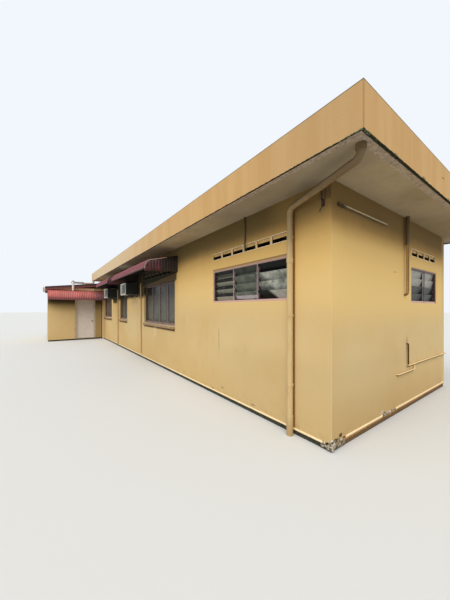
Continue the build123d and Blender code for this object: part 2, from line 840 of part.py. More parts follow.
def door_frame():
    # Jambs, head and threshold with a stop for the leaf.
    x_high = block_end - door_frame_recess
    x_low = leaf_back
    stop_back = leaf_face + door_gap
    frame = block(x_low, x_high, door_frame_low, door_frame_high, floor_height, door_frame_top)
    frame = frame - block(x_low, stop_back, leaf_low, leaf_high, floor_height + threshold_height, leaf_top)
    return frame - block(stop_back, x_high, leaf_low + door_stop_width, leaf_high - door_stop_width,
                         floor_height + threshold_height, leaf_top - door_stop_width)


def door_leaf():
    return block(leaf_back, leaf_face, leaf_low + door_gap, leaf_high - door_gap,
                 leaf_foot, leaf_top - door_gap)


def door_knobs():
    # A turned knob on each face: rose, neck and bevelled grip, revolved about the spindle line.
    grip_foot = rose_thickness + knob_neck_length
    grip_end = grip_foot + knob_length
    profile = Polyline((0, 0), (rose_radius, 0), (rose_radius, rose_thickness),
                       (knob_neck_radius, rose_thickness), (knob_neck_radius, grip_foot),
                       (knob_radius, grip_foot + knob_bevel), (knob_radius, grip_end - knob_bevel),
                       (knob_radius - knob_bevel, grip_end), (0, grip_end), (0, 0))
    knob = revolve(Plane.XZ * make_face(profile), Axis.Z)
    y = leaf_high - door_gap - knob_backset
    outside = Pos(leaf_face, y, knob_height) * Rot(0, 90, 0) * knob
    inside = Pos(leaf_back, y, knob_height) * Rot(0, -90, 0) * knob
    return [outside, inside]


def hinge_halves():
    # Lower knuckle, pin and plate on the frame; upper sleeve and plate on the leaf.
    fixed = []
    moving = []
    half = hinge_length / 2
    plate_low = leaf_back - hinge_plate_thickness
    for foot in hinge_feet:
        middle = foot + half
        head = foot + hinge_length
        knuckle = upright_rod(hinge_x, hinge_y, hinge_radius, foot, middle)
        pin = upright_rod(hinge_x, hinge_y, hinge_pin_radius, foot, head)
        plate = block(plate_low, leaf_back, hinge_y - hinge_plate, hinge_y, foot, middle)
        fixed.append(knuckle + pin + plate)
        sleeve_foot = middle + hinge_joint_gap
        bore = upright_rod(hinge_x, hinge_y, hinge_pin_radius + hinge_pin_clearance, sleeve_foot, head)
        sleeve = upright_rod(hinge_x, hinge_y, hinge_radius, sleeve_foot, head)
        leaf_plate = block(plate_low, leaf_back, hinge_y, hinge_y + door_gap + hinge_plate,
                           sleeve_foot, head)
        moving.append(sleeve + leaf_plate - bore)
    return fixed, moving


def roof_water_pipe():
    # From the far fascia back, down, forward over the wing roof and down in front of its verge.
    exit_z = roof_top - roof_pipe_exit_drop
    run_z = wing_roof_top(roof_pipe_exit_y) + roof_pipe_radius + roof_pipe_clearance
    back_x = wall_back - roof_pipe_back
    turn_y = roof_pipe_exit_y - roof_pipe_run
    drop_reach = wing_verge_overhang + barge_thickness
    awning_z = (wing_awning.wall_top - drop_reach * math.tan(math.radians(wing_awning.slope))
                + rib_rise / math.cos(math.radians(wing_awning.slope)))
    front_x = block_end + drop_reach + roof_pipe_radius
    points = [(wall_back, roof_pipe_exit_y, exit_z), (back_x, roof_pipe_exit_y, exit_z),
              (back_x, roof_pipe_exit_y, run_z), (back_x, turn_y, run_z), (front_x, turn_y, run_z),
              (front_x, turn_y, awning_z + roof_pipe_foot_clearance)]
    support_middle = roof_pipe_exit_y - roof_pipe_run / 2
    y_edges = (support_middle - roof_pipe_support_width / 2, support_middle + roof_pipe_support_width / 2)
    base = [(y, wing_roof_top(y)) for y in y_edges]
    top = [(y, run_z) for y in reversed(y_edges)]
    support = prism_along_x(base + top, back_x - roof_pipe_radius / 2, back_x + roof_pipe_radius / 2)
    return elbowed_pipe(points, roof_pipe_radius) + support


nodes["floor_slab"] = [floor_slab()]
nodes["front_wall"] = [long_wall(0)]
nodes["back_wall"] = [long_wall(block_width - wall_thickness)]
nodes["end_wall"] = [end_wall()]
nodes["inner_wall"] = [inner_wall()]
nodes["roof_slab"] = [roof_slab()]
for name, shape in fascias().items():
    nodes[name] = [shape]

all_frames = []
all_panes = []
all_sills = []
for opening in casement_windows:
    all_frames += [window_frame(opening), to_back_wall(window_frame(opening))]
    all_panes += window_panes(opening) + [to_back_wall(pane) for pane in window_panes(opening)]
    all_sills += [window_sill(opening), to_back_wall(window_sill(opening))]
nodes["window_frames"] = all_frames + [to_wing_far_wall(window_frame(wing_window))]
nodes["window_glass"] = all_panes + [to_wing_far_wall(pane) for pane in window_panes(wing_window)]
nodes["window_sills"] = all_sills + [to_wing_far_wall(window_sill(wing_window))]
side_frame = louvre_frame(side_louvre)
side_blades = louvre_glass(side_louvre, side_blade_tilt)
nodes["louvre_frames"] = [side_frame, to_back_wall(side_frame), to_end_wall(louvre_frame(end_louvre))]
nodes["louvre_blades"] = (side_blades + [to_back_wall(blade) for blade in side_blades]
                          + [to_end_wall(blade) for blade in louvre_glass(end_louvre, end_blade_tilt)])

all_cheeks = []
awning_frames = []
for name, awning in (("near_awning_sheet", near_awning), ("far_awning_sheet", far_awning)):
    nodes[name] = [on_long_wall(awning_sheet(awning), awning.start)]
    all_cheeks += [on_long_wall(awning_cheek(awning, -1), awning.start),
                   on_long_wall(awning_cheek(awning, 1), awning.start + awning.length)]
    awning_frames.append(on_long_wall(awning_frame(awning), awning.start))
nodes["wing_awning_sheet"] = [on_wing_wall(awning_sheet(wing_awning), wing_awning.start)]
nodes["awning_cheeks"] = all_cheeks + [on_wing_wall(awning_cheek(wing_awning, -1), wing_awning.start)]
nodes["awning_frames"] = awning_frames + [on_wing_wall(awning_frame(wing_awning), wing_awning.start)]

nodes["near_cooler"] = [cooler(cooler_highs[0])]
nodes["far_cooler"] = [cooler(cooler_highs[1])]
nodes["cooler_brackets"] = [bracket for high in cooler_highs for bracket in cooler_brackets(high)]
nodes["downpipe"] = [downpipe()]
nodes["drain_pipes"] = drain_pipes()
nodes["pipe_clips"] = pipe_clips()
nodes["end_pipe"] = [end_pipe()]
nodes["water_pipe"] = [water_pipe()]
nodes["conduits"] = conduits()
lamp_body, lamp_tube = strip_lamp()
nodes["lamp_body"] = [lamp_body]
nodes["lamp_tube"] = [lamp_tube]

nodes["wing_floor_slab"] = [wing_floor_slab()]
for name, shape in wing_walls().items():
    nodes[name] = [shape]
nodes["wing_roof"] = [wing_roof()]
nodes["bargeboards"] = bargeboards()
nodes["wing_gutters"] = [gutter(wing_eave_y, -1, verge_x + barge_thickness),
                         gutter(wing_back_eave_y, 1, wall_back)]
nodes["roof_water_pipe"] = [roof_water_pipe()]
nodes["door_frame"] = [door_frame()]
nodes["door_leaf"] = [door_leaf()]
nodes["door_knobs"] = door_knobs()
fixed_hinges, leaf_hinges = hinge_halves()
nodes["frame_hinges"] = fixed_hinges
nodes["leaf_hinges"] = leaf_hinges

# The finished model stands with its origin at the middle of its overall footprint.
low_x = far_verge_x - barge_thickness
low_y = wing_eave_y - gutter_width
to_origin = Pos(-(low_x + overhang_end) / 2, -(low_y + roof_high_y) / 2, 0)
for name, shapes in nodes.items():
    placed = [to_origin * shape for shape in shapes]
    whole = placed[0] if len(placed) == 1 else Compound(children=placed)
    export_step(whole, "parts/" + name + ".step")
print("nodes", len(nodes), "moved by", to_origin.position)
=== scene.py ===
import math
import bmesh
import bpy
import numpy as np
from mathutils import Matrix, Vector


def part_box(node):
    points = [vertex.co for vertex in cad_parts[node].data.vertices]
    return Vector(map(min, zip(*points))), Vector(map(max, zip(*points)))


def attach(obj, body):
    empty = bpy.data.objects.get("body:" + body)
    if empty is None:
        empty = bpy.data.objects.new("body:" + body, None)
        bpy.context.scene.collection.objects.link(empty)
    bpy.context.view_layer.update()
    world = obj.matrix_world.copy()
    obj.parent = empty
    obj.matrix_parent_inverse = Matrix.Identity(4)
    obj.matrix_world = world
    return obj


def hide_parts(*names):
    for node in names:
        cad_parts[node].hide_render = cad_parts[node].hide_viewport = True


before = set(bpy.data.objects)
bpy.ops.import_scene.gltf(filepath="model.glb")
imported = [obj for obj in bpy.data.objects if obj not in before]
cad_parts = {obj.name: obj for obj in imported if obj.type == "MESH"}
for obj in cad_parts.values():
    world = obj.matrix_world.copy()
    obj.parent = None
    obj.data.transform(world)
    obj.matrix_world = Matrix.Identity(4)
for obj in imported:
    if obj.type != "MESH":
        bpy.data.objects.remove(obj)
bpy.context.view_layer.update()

scene = bpy.context.scene
scene.view_settings.view_transform = "Standard"

# The near corner of the two walls seen in front: places along X and Y are measured from it, in metres
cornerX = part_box("front_wall")[1].x
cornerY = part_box("front_wall")[0].y
corner = np.array([cornerX, cornerY, 0.0])
cornerPlace = {"X": cornerX, "Y": cornerY, "Z": 0.0}
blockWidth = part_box("back_wall")[1].y - cornerY
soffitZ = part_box("front_wall")[1].z


def tint(screen):
    # Linear colour of an 8-bit screen colour: ((c / 255 + 0.055) / 1.055) to the power 2.4
    values = np.array(screen) / 255
    linear = np.where(values <= 0.04045, values / 12.92, ((values + 0.055) / 1.055) ** 2.4)
    return (float(linear[0]), float(linear[1]), float(linear[2]), 1.0)


class paintBox:
    # Node shortcuts for one material. Every pattern starts from the piece's own Object coordinates,
    # places given with an axis's name are measured from the near corner, and color is what the coats
    # laid so far give
    def __init__(self, name, look, start, roughness=0.7, metallic=0.0, shine=0.5):
        self.look, self.color = look, look[start]
        self.material = bpy.data.materials.new(name)
        self.material.use_nodes = True
        self.tree = self.material.node_tree
        self.shader = self.tree.nodes["Principled BSDF"]
        self.shader.inputs["Roughness"].default_value = roughness
        self.shader.inputs["Metallic"].default_value = metallic
        self.shader.inputs["Specular IOR Level"].default_value = shine
        self.place = self.put("ShaderNodeTexCoord").outputs["Object"]
        self.split = {}

    def put(self, kind, **values):
        node = self.tree.nodes.new(kind)
        for key, value in values.items():
            setattr(node, key, value)
        return node

    def plug(self, socket, value):
        if isinstance(value, bpy.types.NodeSocket):
            self.tree.links.new(value, socket)
        else:
            socket.default_value = value

    def axis(self, name, normal=None):
        # One coordinate, or one part of the named surface normal
        if normal not in self.split:
            source = self.put("ShaderNodeNewGeometry").outputs[normal] if normal else self.place
            self.split[normal] = self.put("ShaderNodeSeparateXYZ")
            self.plug(self.split[normal].inputs[0], source)
        return self.split[normal].outputs[name]

    def math(self, operation, first, second=0.0):
        node = self.put("ShaderNodeMath", operation=operation)
        self.plug(node.inputs[0], first)
        self.plug(node.inputs[1], second)
        return node.outputs[0]

    def plus(self, first, second):
        return self.math("ADD", first, second)

    def times(self, *values):
        total = values[0]
        for value in values[1:]:
            total = self.math("MULTIPLY", total, value)
        return total

    def past(self, name, place):
        # How far a point lies beyond a place along an axis
        return self.math("SUBTRACT", self.axis(name), place + cornerPlace[name])

    def before(self, name, place):
        # How far a point lies short of a place along an axis
        return self.math("SUBTRACT", place + cornerPlace[name], self.axis(name))

    def noise(self, scale, detail=4, rough=0.6, stretch=None, seed=0.0):
        # stretch multiplies the coordinates by a number of its own along each axis
        source = self.place
        if stretch:
            node = self.put("ShaderNodeMapping")
            self.plug(node.inputs["Vector"], source)
            node.inputs["Scale"].default_value = stretch
            source = node.outputs[0]
        node = self.put("ShaderNodeTexNoise", noise_dimensions="4D")
        self.plug(node.inputs["Vector"], source)
        for key, value in {"W": seed, "Scale": scale, "Detail": detail, "Roughness": rough}.items():
            node.inputs[key].default_value = value
        return node.outputs["Fac"]

    def sway(self, pattern, amount):
        # A pattern between 0 and 1, turned into one between minus and plus half the amount
        return self.times(self.math("SUBTRACT", pattern, 0.5), amount)

    def fade(self, value, low, high, top=1.0):
        # 0 at low, rising smoothly to top at high; low may be the larger. The value is a pattern or the
        # name of an axis
        if isinstance(value, str):
            low, high = low + cornerPlace[value], high + cornerPlace[value]
            value = self.axis(value)
        node = self.put("ShaderNodeMapRange", interpolation_type="SMOOTHSTEP")
        ends = (low, high, 0.0, top) if low < high else (high, low, top, 0.0)
        for key, end in zip(("From Min", "From Max", "To Min", "To Max"), ends):
            node.inputs[key].default_value = end
        self.plug(node.inputs["Value"], value)
        return node.outputs[0]

    def patch(self, scale, low, high, top=1.0, detail=4, rough=0.6, seed=0.0, stretch=None):
        # Noise faded between two levels
        return self.fade(self.noise(scale, detail, rough, stretch, seed), low, high, top)

    def ramp(self, value, stops):
        # Colour by value: each stop is a value and its colour, with straight lines between them
        low, high = stops[0][0], stops[-1][0]
        node = self.put("ShaderNodeValToRGB")
        self.plug(node.inputs[0], self.math("DIVIDE", self.math("SUBTRACT", value, low), high - low))
        points = node.color_ramp.elements
        for place, color in stops[1:-1]:
            points.new((place - low) / (high - low))
        for point, (place, color) in zip(points, stops):
            point.color = tint(color)
        return node.outputs[0]

    def window(self, name, low, high, soft):
        # 1 between two places along an axis, fading out over soft beyond them
        return self.times(self.fade(name, low - soft, low), self.fade(name, high + soft, high))

    def near(self, name, centre, half, soft):
        # 1 within half of a place along an axis, fading out over soft beyond it
        return self.fade(self.math("ABSOLUTE", self.past(name, centre)), half + soft, half)

    def within(self, **spans):
        # 1 inside a block given as X=(low, high, soft) and so on, fading out beyond its sides
        return self.times(*[self.window(name, *span) for name, span in spans.items()])

    def spot(self, raggedness=0.35, grain=22.0, **spans):
        # 1 inside a ragged round spot: the squared distances from its centre, each axis measured in its
        # own reach and given as X=(centre, reach), plus noise, fall below 1
        total = None
        for name, (centre, reach) in spans.items():
            part = self.math("ABSOLUTE", self.math("DIVIDE", self.past(name, centre), reach))
            part = self.math("POWER", part, 2.0)
            total = self.plus(total, part) if total else part
        rough = self.sway(self.noise(grain, 3, seed=centre), raggedness * 4)
        return self.fade(self.plus(total, rough), 1.15, 0.8)

    def mix(self, amount, first, second):
        # From the first colour to the second: a pattern, a screen colour or the name of one in look
        node = self.put("ShaderNodeMix", data_type="RGBA")
        for index, value in ((0, amount), (6, first), (7, second)):
            value = self.look[value] if isinstance(value, str) else value
            value = tint(value) if isinstance(value, tuple) and len(value) == 3 else value
            self.plug(node.inputs[index], value)
        return node.outputs[2]

    def coat(self, over, *amounts):
        # Another colour over those laid so far, by the product of the amounts
        self.color = self.mix(self.times(*amounts), self.color, over)

    def dress(self, bump=None, bumpHeight=0.0, roughness=None):
        # The material, once the coats are laid; a number for bump is the scale of a fine noise
        self.plug(self.shader.inputs["Base Color"], self.color)
        if roughness:
            self.plug(self.shader.inputs["Roughness"], roughness)
        if bump:
            node = self.put("ShaderNodeBump")
            node.inputs["Strength"].default_value = 1.0
            node.inputs["Distance"].default_value = bumpHeight
            self.plug(node.inputs["Height"], self.noise(bump, 3) if isinstance(bump, (int, float)) else bump)
            self.plug(self.shader.inputs["Normal"], node.outputs[0])
        return self.material


def paintNodes(material, *names):
    # Each named CAD node gets the material alone
    for name in names:
        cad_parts[name].data.materials.clear()
        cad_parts[name].data.materials.append(material)


# Camera at the photograph's place, measured from the near corner of the walls
cameraLook = {
    "fromCorner": (1.569, -2.586), "height": 1.605, "heading": 54.27, "lens": 15.066, "sensor": 36.0,
    "shiftUp": 0.014, "reach": 500}
cameraData = bpy.data.cameras.new("photoCamera")
cameraData.lens = cameraLook["lens"]
cameraData.sensor_width = cameraLook["sensor"]
cameraData.shift_y = cameraLook["shiftUp"]
cameraData.clip_end = cameraLook["reach"]
camera = bpy.data.objects.new("photoCamera", cameraData)
scene.collection.objects.link(camera)
camera.location = (cornerX + cameraLook["fromCorner"][0], cornerY + cameraLook["fromCorner"][1],
                   cameraLook["height"])
camera.rotation_euler = (math.radians(90), 0, math.radians(cameraLook["heading"]))
scene.camera = camera
print("camera placed")

# Overcast light: an even sky and one very soft sun
lightLook = {
    "sky": (0.93, 0.97, 1.0, 1.0), "skyStrength": 0.66, "shownSky": (242, 247, 253),
    "sunFrom": (0.55, -0.75, 1.2), "sunStrength": 2.4, "sunSpread": 60}
world = bpy.data.worlds.new("overcast")
scene.world = world
world.use_nodes = True
worldTree = world.node_tree
lit = worldTree.nodes["Background"]
lit.inputs["Color"].default_value = lightLook["sky"]
lit.inputs["Strength"].default_value = lightLook["skyStrength"]
shown = worldTree.nodes.new("ShaderNodeBackground")
shown.inputs["Color"].default_value = tint(lightLook["shownSky"])


def seenDirectly(tree):
    # 1 for camera, glossy and transmission rays, which are the ones that show the backdrop's colour
    path = tree.nodes.new("ShaderNodeLightPath")
    total = path.outputs["Is Camera Ray"]
    for name in ("Is Glossy Ray", "Is Transmission Ray"):
        node = tree.nodes.new("ShaderNodeMath")
        node.operation = "MAXIMUM"
        tree.links.new(total, node.inputs[0])
        tree.links.new(path.outputs[name], node.inputs[1])
        total = node.outputs[0]
    return total


worldMix = worldTree.nodes.new("ShaderNodeMixShader")
for place, output in enumerate((seenDirectly(worldTree), lit.outputs[0], shown.outputs[0])):
    worldTree.links.new(output, worldMix.inputs[place])
worldTree.links.new(worldMix.outputs[0], worldTree.nodes["World Output"].inputs["Surface"])
sunData = bpy.data.lights.new("softSun", "SUN")
sunData.energy = lightLook["sunStrength"]
sunData.angle = math.radians(lightLook["sunSpread"])
sun = bpy.data.objects.new("softSun", sunData)
scene.collection.objects.link(sun)
sun.rotation_euler = Vector(lightLook["sunFrom"]).to_track_quat("Z", "Y").to_euler()


def meshObject(name, points, faces, material, smooth=True):
    # One object at the origin from points and faces; smooth is one answer, or one for each face
    mesh = bpy.data.meshes.new(name)
    faces = faces.tolist() if isinstance(faces, np.ndarray) else faces
    mesh.from_pydata(np.asarray(points).tolist(), [], faces)
    mesh.polygons.foreach_set("use_smooth", np.broadcast_to(smooth, len(mesh.polygons)).copy())
    mesh.update()
    mesh.materials.append(material)
    piece = bpy.data.objects.new(name, mesh)
    scene.collection.objects.link(piece)
    return piece


# Plain floor: pale where it is seen, a mid tone where it throws light back
floorLook = {"shown": (214, 213, 209), "thrown": (0.4, 0.37, 0.33, 1.0), "reach": 120.0}


def studioFloor():
    # A flat square of the floor's reach at z = 0
    reach = floorLook["reach"]
    box = paintBox("floorPaint", floorLook, "thrown", roughness=0.9, shine=0.1)
    box.coat("shown", seenDirectly(box.tree))
    sides = [(-reach, -reach, 0), (reach, -reach, 0), (reach, reach, 0), (-reach, reach, 0)]
    meshObject("studioFloor", sides, [(0, 1, 2, 3)], box.dress())


studioFloor()
print("light and floor ready")


def circle(count):
    # Even turns round a circle
    return np.linspace(0, 2 * math.pi, count, endpoint=False)


def gridFaces(rows, columns, wrap=False):
    # Quads between the neighbouring points of a grid; wrap joins each row's end to its start
    index = np.arange(rows * columns).reshape(rows, columns)
    if wrap:
        index = np.concatenate([index, index[:, :1]], axis=1)
    return np.stack([index[:-1, :-1], index[1:, :-1], index[1:, 1:], index[:-1, 1:]], axis=-1).reshape(-1, 4)


def tubeFaces(count, size, start=0):
    # Quads between neighbouring rings of points, and a flat face over the first ring and the last
    last = start + (count - 1) * size
    ends = [list(range(start, start + size)), list(range(last, last + size))]
    return (gridFaces(count, size, wrap=True) + start).tolist() + ends


def turnOutward(piece):
    # Faces of closed shapes are turned to look outwards
    shape = bmesh.new()
    shape.from_mesh(piece.data)
    bmesh.ops.recalc_face_normals(shape, faces=shape.faces)
    shape.to_mesh(piece.data)
    shape.free()
    return piece


def thinShell(name, outer, inner, material):
    # A closed sheet from two grids of points, one for each face, joined by a flat rim
    rows, columns = outer.shape[:2]
    index = np.arange(rows * columns).reshape(rows, columns)
    rim = np.concatenate([index[0, :-1], index[:-1, -1], index[-1, :0:-1], index[:0:-1, 0]])
    after = np.roll(rim, -1)
    count = rows * columns
    sides = np.stack([rim, after, after + count, rim + count], axis=-1)
    faces = np.concatenate([gridFaces(rows, columns), gridFaces(rows, columns)[:, ::-1] + count, sides])
    points = np.concatenate([outer.reshape(-1, 3), inner.reshape(-1, 3)])
    rounded = np.arange(len(faces)) < len(faces) - len(sides)
    return turnOutward(meshObject(name, points, faces, material, rounded))


def ringTube(name, rings, material, smooth=True):
    # A closed tube from an array of rings of points, flat at both ends
    faces = tubeFaces(*rings.shape[:2])
    rounded = (np.arange(len(faces)) < len(faces) - 2) & smooth
    return turnOutward(meshObject(name, rings.reshape(-1, 3), faces, material, rounded))


def manyBlocks(name, lows, highs, material, bevel):
    # Many blocks at once: each low corner plus the eight on-off patterns times the block's size
    lows, highs = np.asarray(lows, float), np.asarray(highs, float)
    pattern = np.array([[x, y, z] for x in (0, 1) for y in (0, 1) for z in (0, 1)])
    points = lows[:, None, :] + (highs - lows)[:, None, :] * pattern
    quads = np.array([[0, 1, 3, 2], [4, 6, 7, 5], [0, 4, 5, 1], [2, 3, 7, 6], [0, 2, 6, 4], [1, 5, 7, 3]])
    faces = (quads[None] + 8 * np.arange(len(lows))[:, None, None]).reshape(-1, 4)
    piece = turnOutward(meshObject(name, points.reshape(-1, 3), faces, material, smooth=False))
    edges = piece.modifiers.new("softEdges", "BEVEL")
    edges.width = bevel
    edges.segments = 2
    return piece


def standOn(piece, slot, *replaced):
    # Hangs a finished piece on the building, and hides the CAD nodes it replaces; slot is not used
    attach(piece, "building")
    if replaced:
        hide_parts(*replaced)


# Plaster. Each mark is a colour's name, its amount, and a block as (low, high, soft edge) along axes
wallLook = {
    "ochre": (222, 189, 129), "pale": (228, 200, 145), "orange": (214, 174, 108),
    "splash": (176, 138, 84), "bright": (255, 218, 142), "lampEndShade": (70, 54, 28), "farSootAndShade": (86, 76, 46),
    "mouldAndShade": (30, 35, 25), "olive": (60, 56, 40), "sootAndShade": (74, 54, 26), "shade": (120, 92, 66),
    "dull": (82, 80, 58), "pipeShade": (132, 96, 48), "crack": (112, 78, 40), "beam": (128, 116, 92),
    "arris": (244, 224, 176), "dirtAndShadow": (96, 66, 32), "hole": (44, 34, 22), "chip": (222, 206, 182),
    "clean": (238, 212, 170), "rust": (176, 112, 48), "wingGrimeAndShade": (72, 68, 40), "wingAwningShade": (44, 38, 22),
    "wingStrip": (255, 226, 178), "wingShade": (96, 80, 44), "wingRust": (84, 50, 24),
    "bumpHeight": 0.0014,
    "zones": ((1.25, (225, 193, 136)), (1.9, (243, 207, 137)), (2.15, (245, 204, 129)),
        (2.43, (231, 189, 113)), (2.57, (211, 170, 99)), (2.68, (180, 143, 83)), (2.79, (142, 116, 66)),
        (3.07, (136, 112, 64))),
    "mouldAndShadeAt": ({"X": (-10.1, -6.6, 0.5), "Z": (2.2, 2.9, 0.45)},
        {"X": (-10.8, -10.0, 0.25), "Z": (2.0, 2.9, 0.3)}),
    "headMarks": (("olive", 0.85, {"X": (-6.5, -4.05, 0.05), "Z": (2.31, 2.6, 0.03)}),
        ("shade", 0.75, {"X": (-2.4, -0.6, 0.004), "Z": (2.306, 2.324, 0.006)}),
        ("beam", 0.75, {"X": (-6.5, -4.08, 0.03), "Z": (2.272, 2.306, 0.008)})),
    "lowMarks": (("pipeShade", 0.85, {"X": (-0.545, -0.503, 0.006), "Z": (0.05, 2.84, 0.03)}),
        ("dirtAndShadow", 0.85, {"X": (-6.445, -4.125, 0.01), "Z": (1.045, 1.08, 0.012)}),
        ("dirtAndShadow", 0.85, {"X": (-9.65, -8.465, 0.01), "Z": (1.045, 1.08, 0.012)}),
        ("dirtAndShadow", 0.85, {"X": (-12.98, -11.18, 0.01), "Z": (1.045, 1.08, 0.012)})),
    "cleanMarks": ((0.5, {"X": (-5.6, -5.4, 0.08), "Z": (0.86, 1.05, 0.12)}),
        (0.65, {"X": (-7.6, -7.1, 0.22), "Z": (1.72, 2.0, 0.16)})),
    "frontLining": {"Y": (0.01, 0.148, 0.001), "Z": (2.50, 2.62, 0.002), "X": (-12.0, -0.5, 0.01)},
    "endLining": {"X": (-0.148, -0.01, 0.001), "Z": (2.475, 2.59, 0.002), "Y": (2.3, 3.7, 0.01)},
    "crackAt": -2.22, "frontScuffs": ((-2.43, 0.10, 0.05), (-2.1, 0.19, 0.04), (-1.3, 0.13, 0.05)),
    "endHoles": ((1.315, 0.118, 0.045, 0.022), (0.185, 0.148, 0.035, 0.024), (0.09, 0.105, 0.07, 0.03),
        (0.24, 0.1, 0.05, 0.014)),
    "plugs": (1.66, 1.72), "pipeLines": ((0.69, 2.13, 4.7), (0.6, 1.76, 2.41))}


def wallPaint(name, zoned, extra=None):
    # Ochre plaster: slow mottling and faint rain streaks; above the reach of rain its colour goes by
    # height, lightest at head height as painted light and darkest under the soffit as soot with painted
    # shade; splash marks at the foot
    box = paintBox(name, wallLook, "ochre", roughness=0.82, shine=0.25)
    middle = box.noise(2.6, 5, seed=3.0)
    box.coat("pale", box.patch(0.55, 0.35, 0.68, detail=3, rough=0.5))
    box.coat("orange", box.fade(middle, 0.5, 0.75), 0.3)
    box.coat("orange", box.fade("Z", 1.0, 0.05, 0.3))
    box.coat("splash", box.patch(1.0, 0.55, 0.85, stretch=(7.0, 7.0, 0.35), seed=7.0), 0.1)
    level = box.plus(box.axis("Z"), box.sway(middle, 0.14))
    # Painted light at head height and painted shade with soot under the soffit, by height
    box.coat(box.ramp(level, wallLook["zones"]), box.fade("Z", 1.25, 1.75, zoned))
    box.coat("splash", box.fade("Z", 0.3, 0.06), box.patch(9.0, 0.45, 0.75), 0.45)
    if extra:
        extra(box)
    waves = box.times(box.noise(4.0, 3, 0.5, seed=5.0), 2.0)
    return box.dress(box.plus(box.times(box.noise(55.0, 3), 0.35), waves), wallLook["bumpHeight"])


def endMarks(box):
    # On the end wall: a band of painted light with soot and painted shade above it, chips and holes at the
    # foot, painted shadow under the small pipes, two plugged screw holes, painted shade in the vents'
    # linings, and a painted highlight on the arris
    look = wallLook
    onEnd = box.fade("X", -0.004, -0.001)
    # Painted light: a brighter band across the middle of the end wall
    box.coat("bright", onEnd, box.times(box.fade("Z", 1.15, 1.75), box.fade("Z", 2.65, 2.35), 0.5))
    # Soot and painted shade under the soffit
    box.coat("sootAndShade", onEnd, box.fade("Z", 2.35, 2.85, 0.32))
    box.coat("dirtAndShadow", box.within(Y=(2.11, 2.175, 0.012), Z=(1.0, 1.06, 0.14)), onEnd, 0.35)
    box.coat("chip", box.spot(0.9, 34.0, Y=(1.25, 0.055), Z=(0.152, 0.03)), onEnd, 0.8)
    for place, height, reach, tall in look["endHoles"]:
        box.coat("hole", box.spot(0.8, 40.0, Y=(place, reach), Z=(height, tall)), onEnd)
    onFront = box.times(box.near("Y", 0.0, 0.002, 0.002), box.math("SUBTRACT", 1.0, onEnd))
    box.coat("hole", box.spot(0.8, 40.0, X=(-0.04, 0.06), Z=(0.075, 0.02)), onFront)
    box.coat("rust", box.fade("Z", 0.092, 0.086), box.patch(14.0, 0.25, 0.6, detail=3), onEnd, 0.8)
    # Painted shadow under the level runs of the water pipe
    for level, low, high in look["pipeLines"]:
        line = box.times(box.near("Z", level - 0.026, 0.006, 0.004), box.window("Y", low, high, 0.01))
        box.coat("dirtAndShadow", line, onEnd, 0.75)
    for place in look["plugs"]:
        box.coat("hole", box.spot(0.1, Y=(place, 0.012), Z=(2.15, 0.01)), onEnd, 0.7)
    # Painted shade inside the vents
    box.coat("hole", box.within(**look["endLining"]))
    box.coat("splash", onEnd, box.fade("Z", 0.75, 0.2), 0.22)
    # Painted highlight along the corner's arris
    arris = box.times(box.near("X", 0.0, 0.003, 0.005), box.near("Y", 0.0, 0.003, 0.005))
    box.coat("arris", arris, box.fade("Z", 2.3, 0.5), 0.4)


def frontMarks(box):
    # Mould and painted shade under the awnings and over the big window, painted shadow behind the pipe and
    # under the sills, cleaner patches, a crack, scuffs and painted shade in the vents' linings; then the end
    # wall's marks
    look = wallLook
    # Soot and painted shade under the soffit, away from the corner
    box.coat("farSootAndShade", box.fade("X", -0.55, -1.1), box.fade("Z", 2.55, 2.92), 0.62)
    box.coat("dull", box.fade("X", -3.0, -1.2), box.fade("Z", 1.15, 0.8), box.fade("Y", 3.4, 1.2), 0.09)
    # Mould and painted shade under the awnings
    under = box.math("MAXIMUM", *[box.within(**spans) for spans in look["mouldAndShadeAt"]])
    under = box.plus(under, box.sway(box.noise(5.0, 4, 0.65, seed=14.0), 0.5))
    box.coat("mouldAndShade", box.fade(under, 0.25, 0.7, 0.93))
    # Painted shade over the big window, and a painted shade line over the side louvre's head
    for shade, amount, spans in look["headMarks"]:
        box.coat(shade, box.within(**spans), amount)
    tilted = box.plus(box.axis("Z"), box.times(box.before("X", -4.1), 0.061))
    over = box.times(box.window("X", -6.55, -3.97, 0.02), box.fade(tilted, 2.44, 2.48))
    cloud = box.fade(box.patch(3.0, 0.15, 0.6, seed=12.0), 0.0, 0.3)
    # Mould and painted shade under the awning, down to the slanting edge of its shadow
    box.coat("mouldAndShade", over, box.fade("Z", 2.86, 2.84), cloud, 0.92)
    # Painted shadow behind the downpipe and under each sill
    for shade, amount, spans in look["lowMarks"]:
        box.coat(shade, box.within(**spans), amount)
    ragged = box.patch(7.0, 0.3, 0.6, seed=16.0)
    for amount, spans in look["cleanMarks"]:
        box.coat("clean", box.within(**spans), ragged, amount)
    bent = box.plus(box.axis("X"), box.sway(box.noise(3.5, 3, seed=21.0), 0.05))
    gap = box.math("ABSOLUTE", box.math("SUBTRACT", bent, cornerX + look["crackAt"]))
    box.coat("crack", box.fade(gap, 0.0075, 0.003), box.window("Z", 0.9, 1.2, 0.07), 0.8)
    for place, height, reach in look["frontScuffs"]:
        box.coat("dirtAndShadow", box.spot(X=(place, reach), Z=(height, 0.012)), 0.5)
    # Painted shade inside the vents
    box.coat("hole", box.within(**look["frontLining"]))
    endMarks(box)


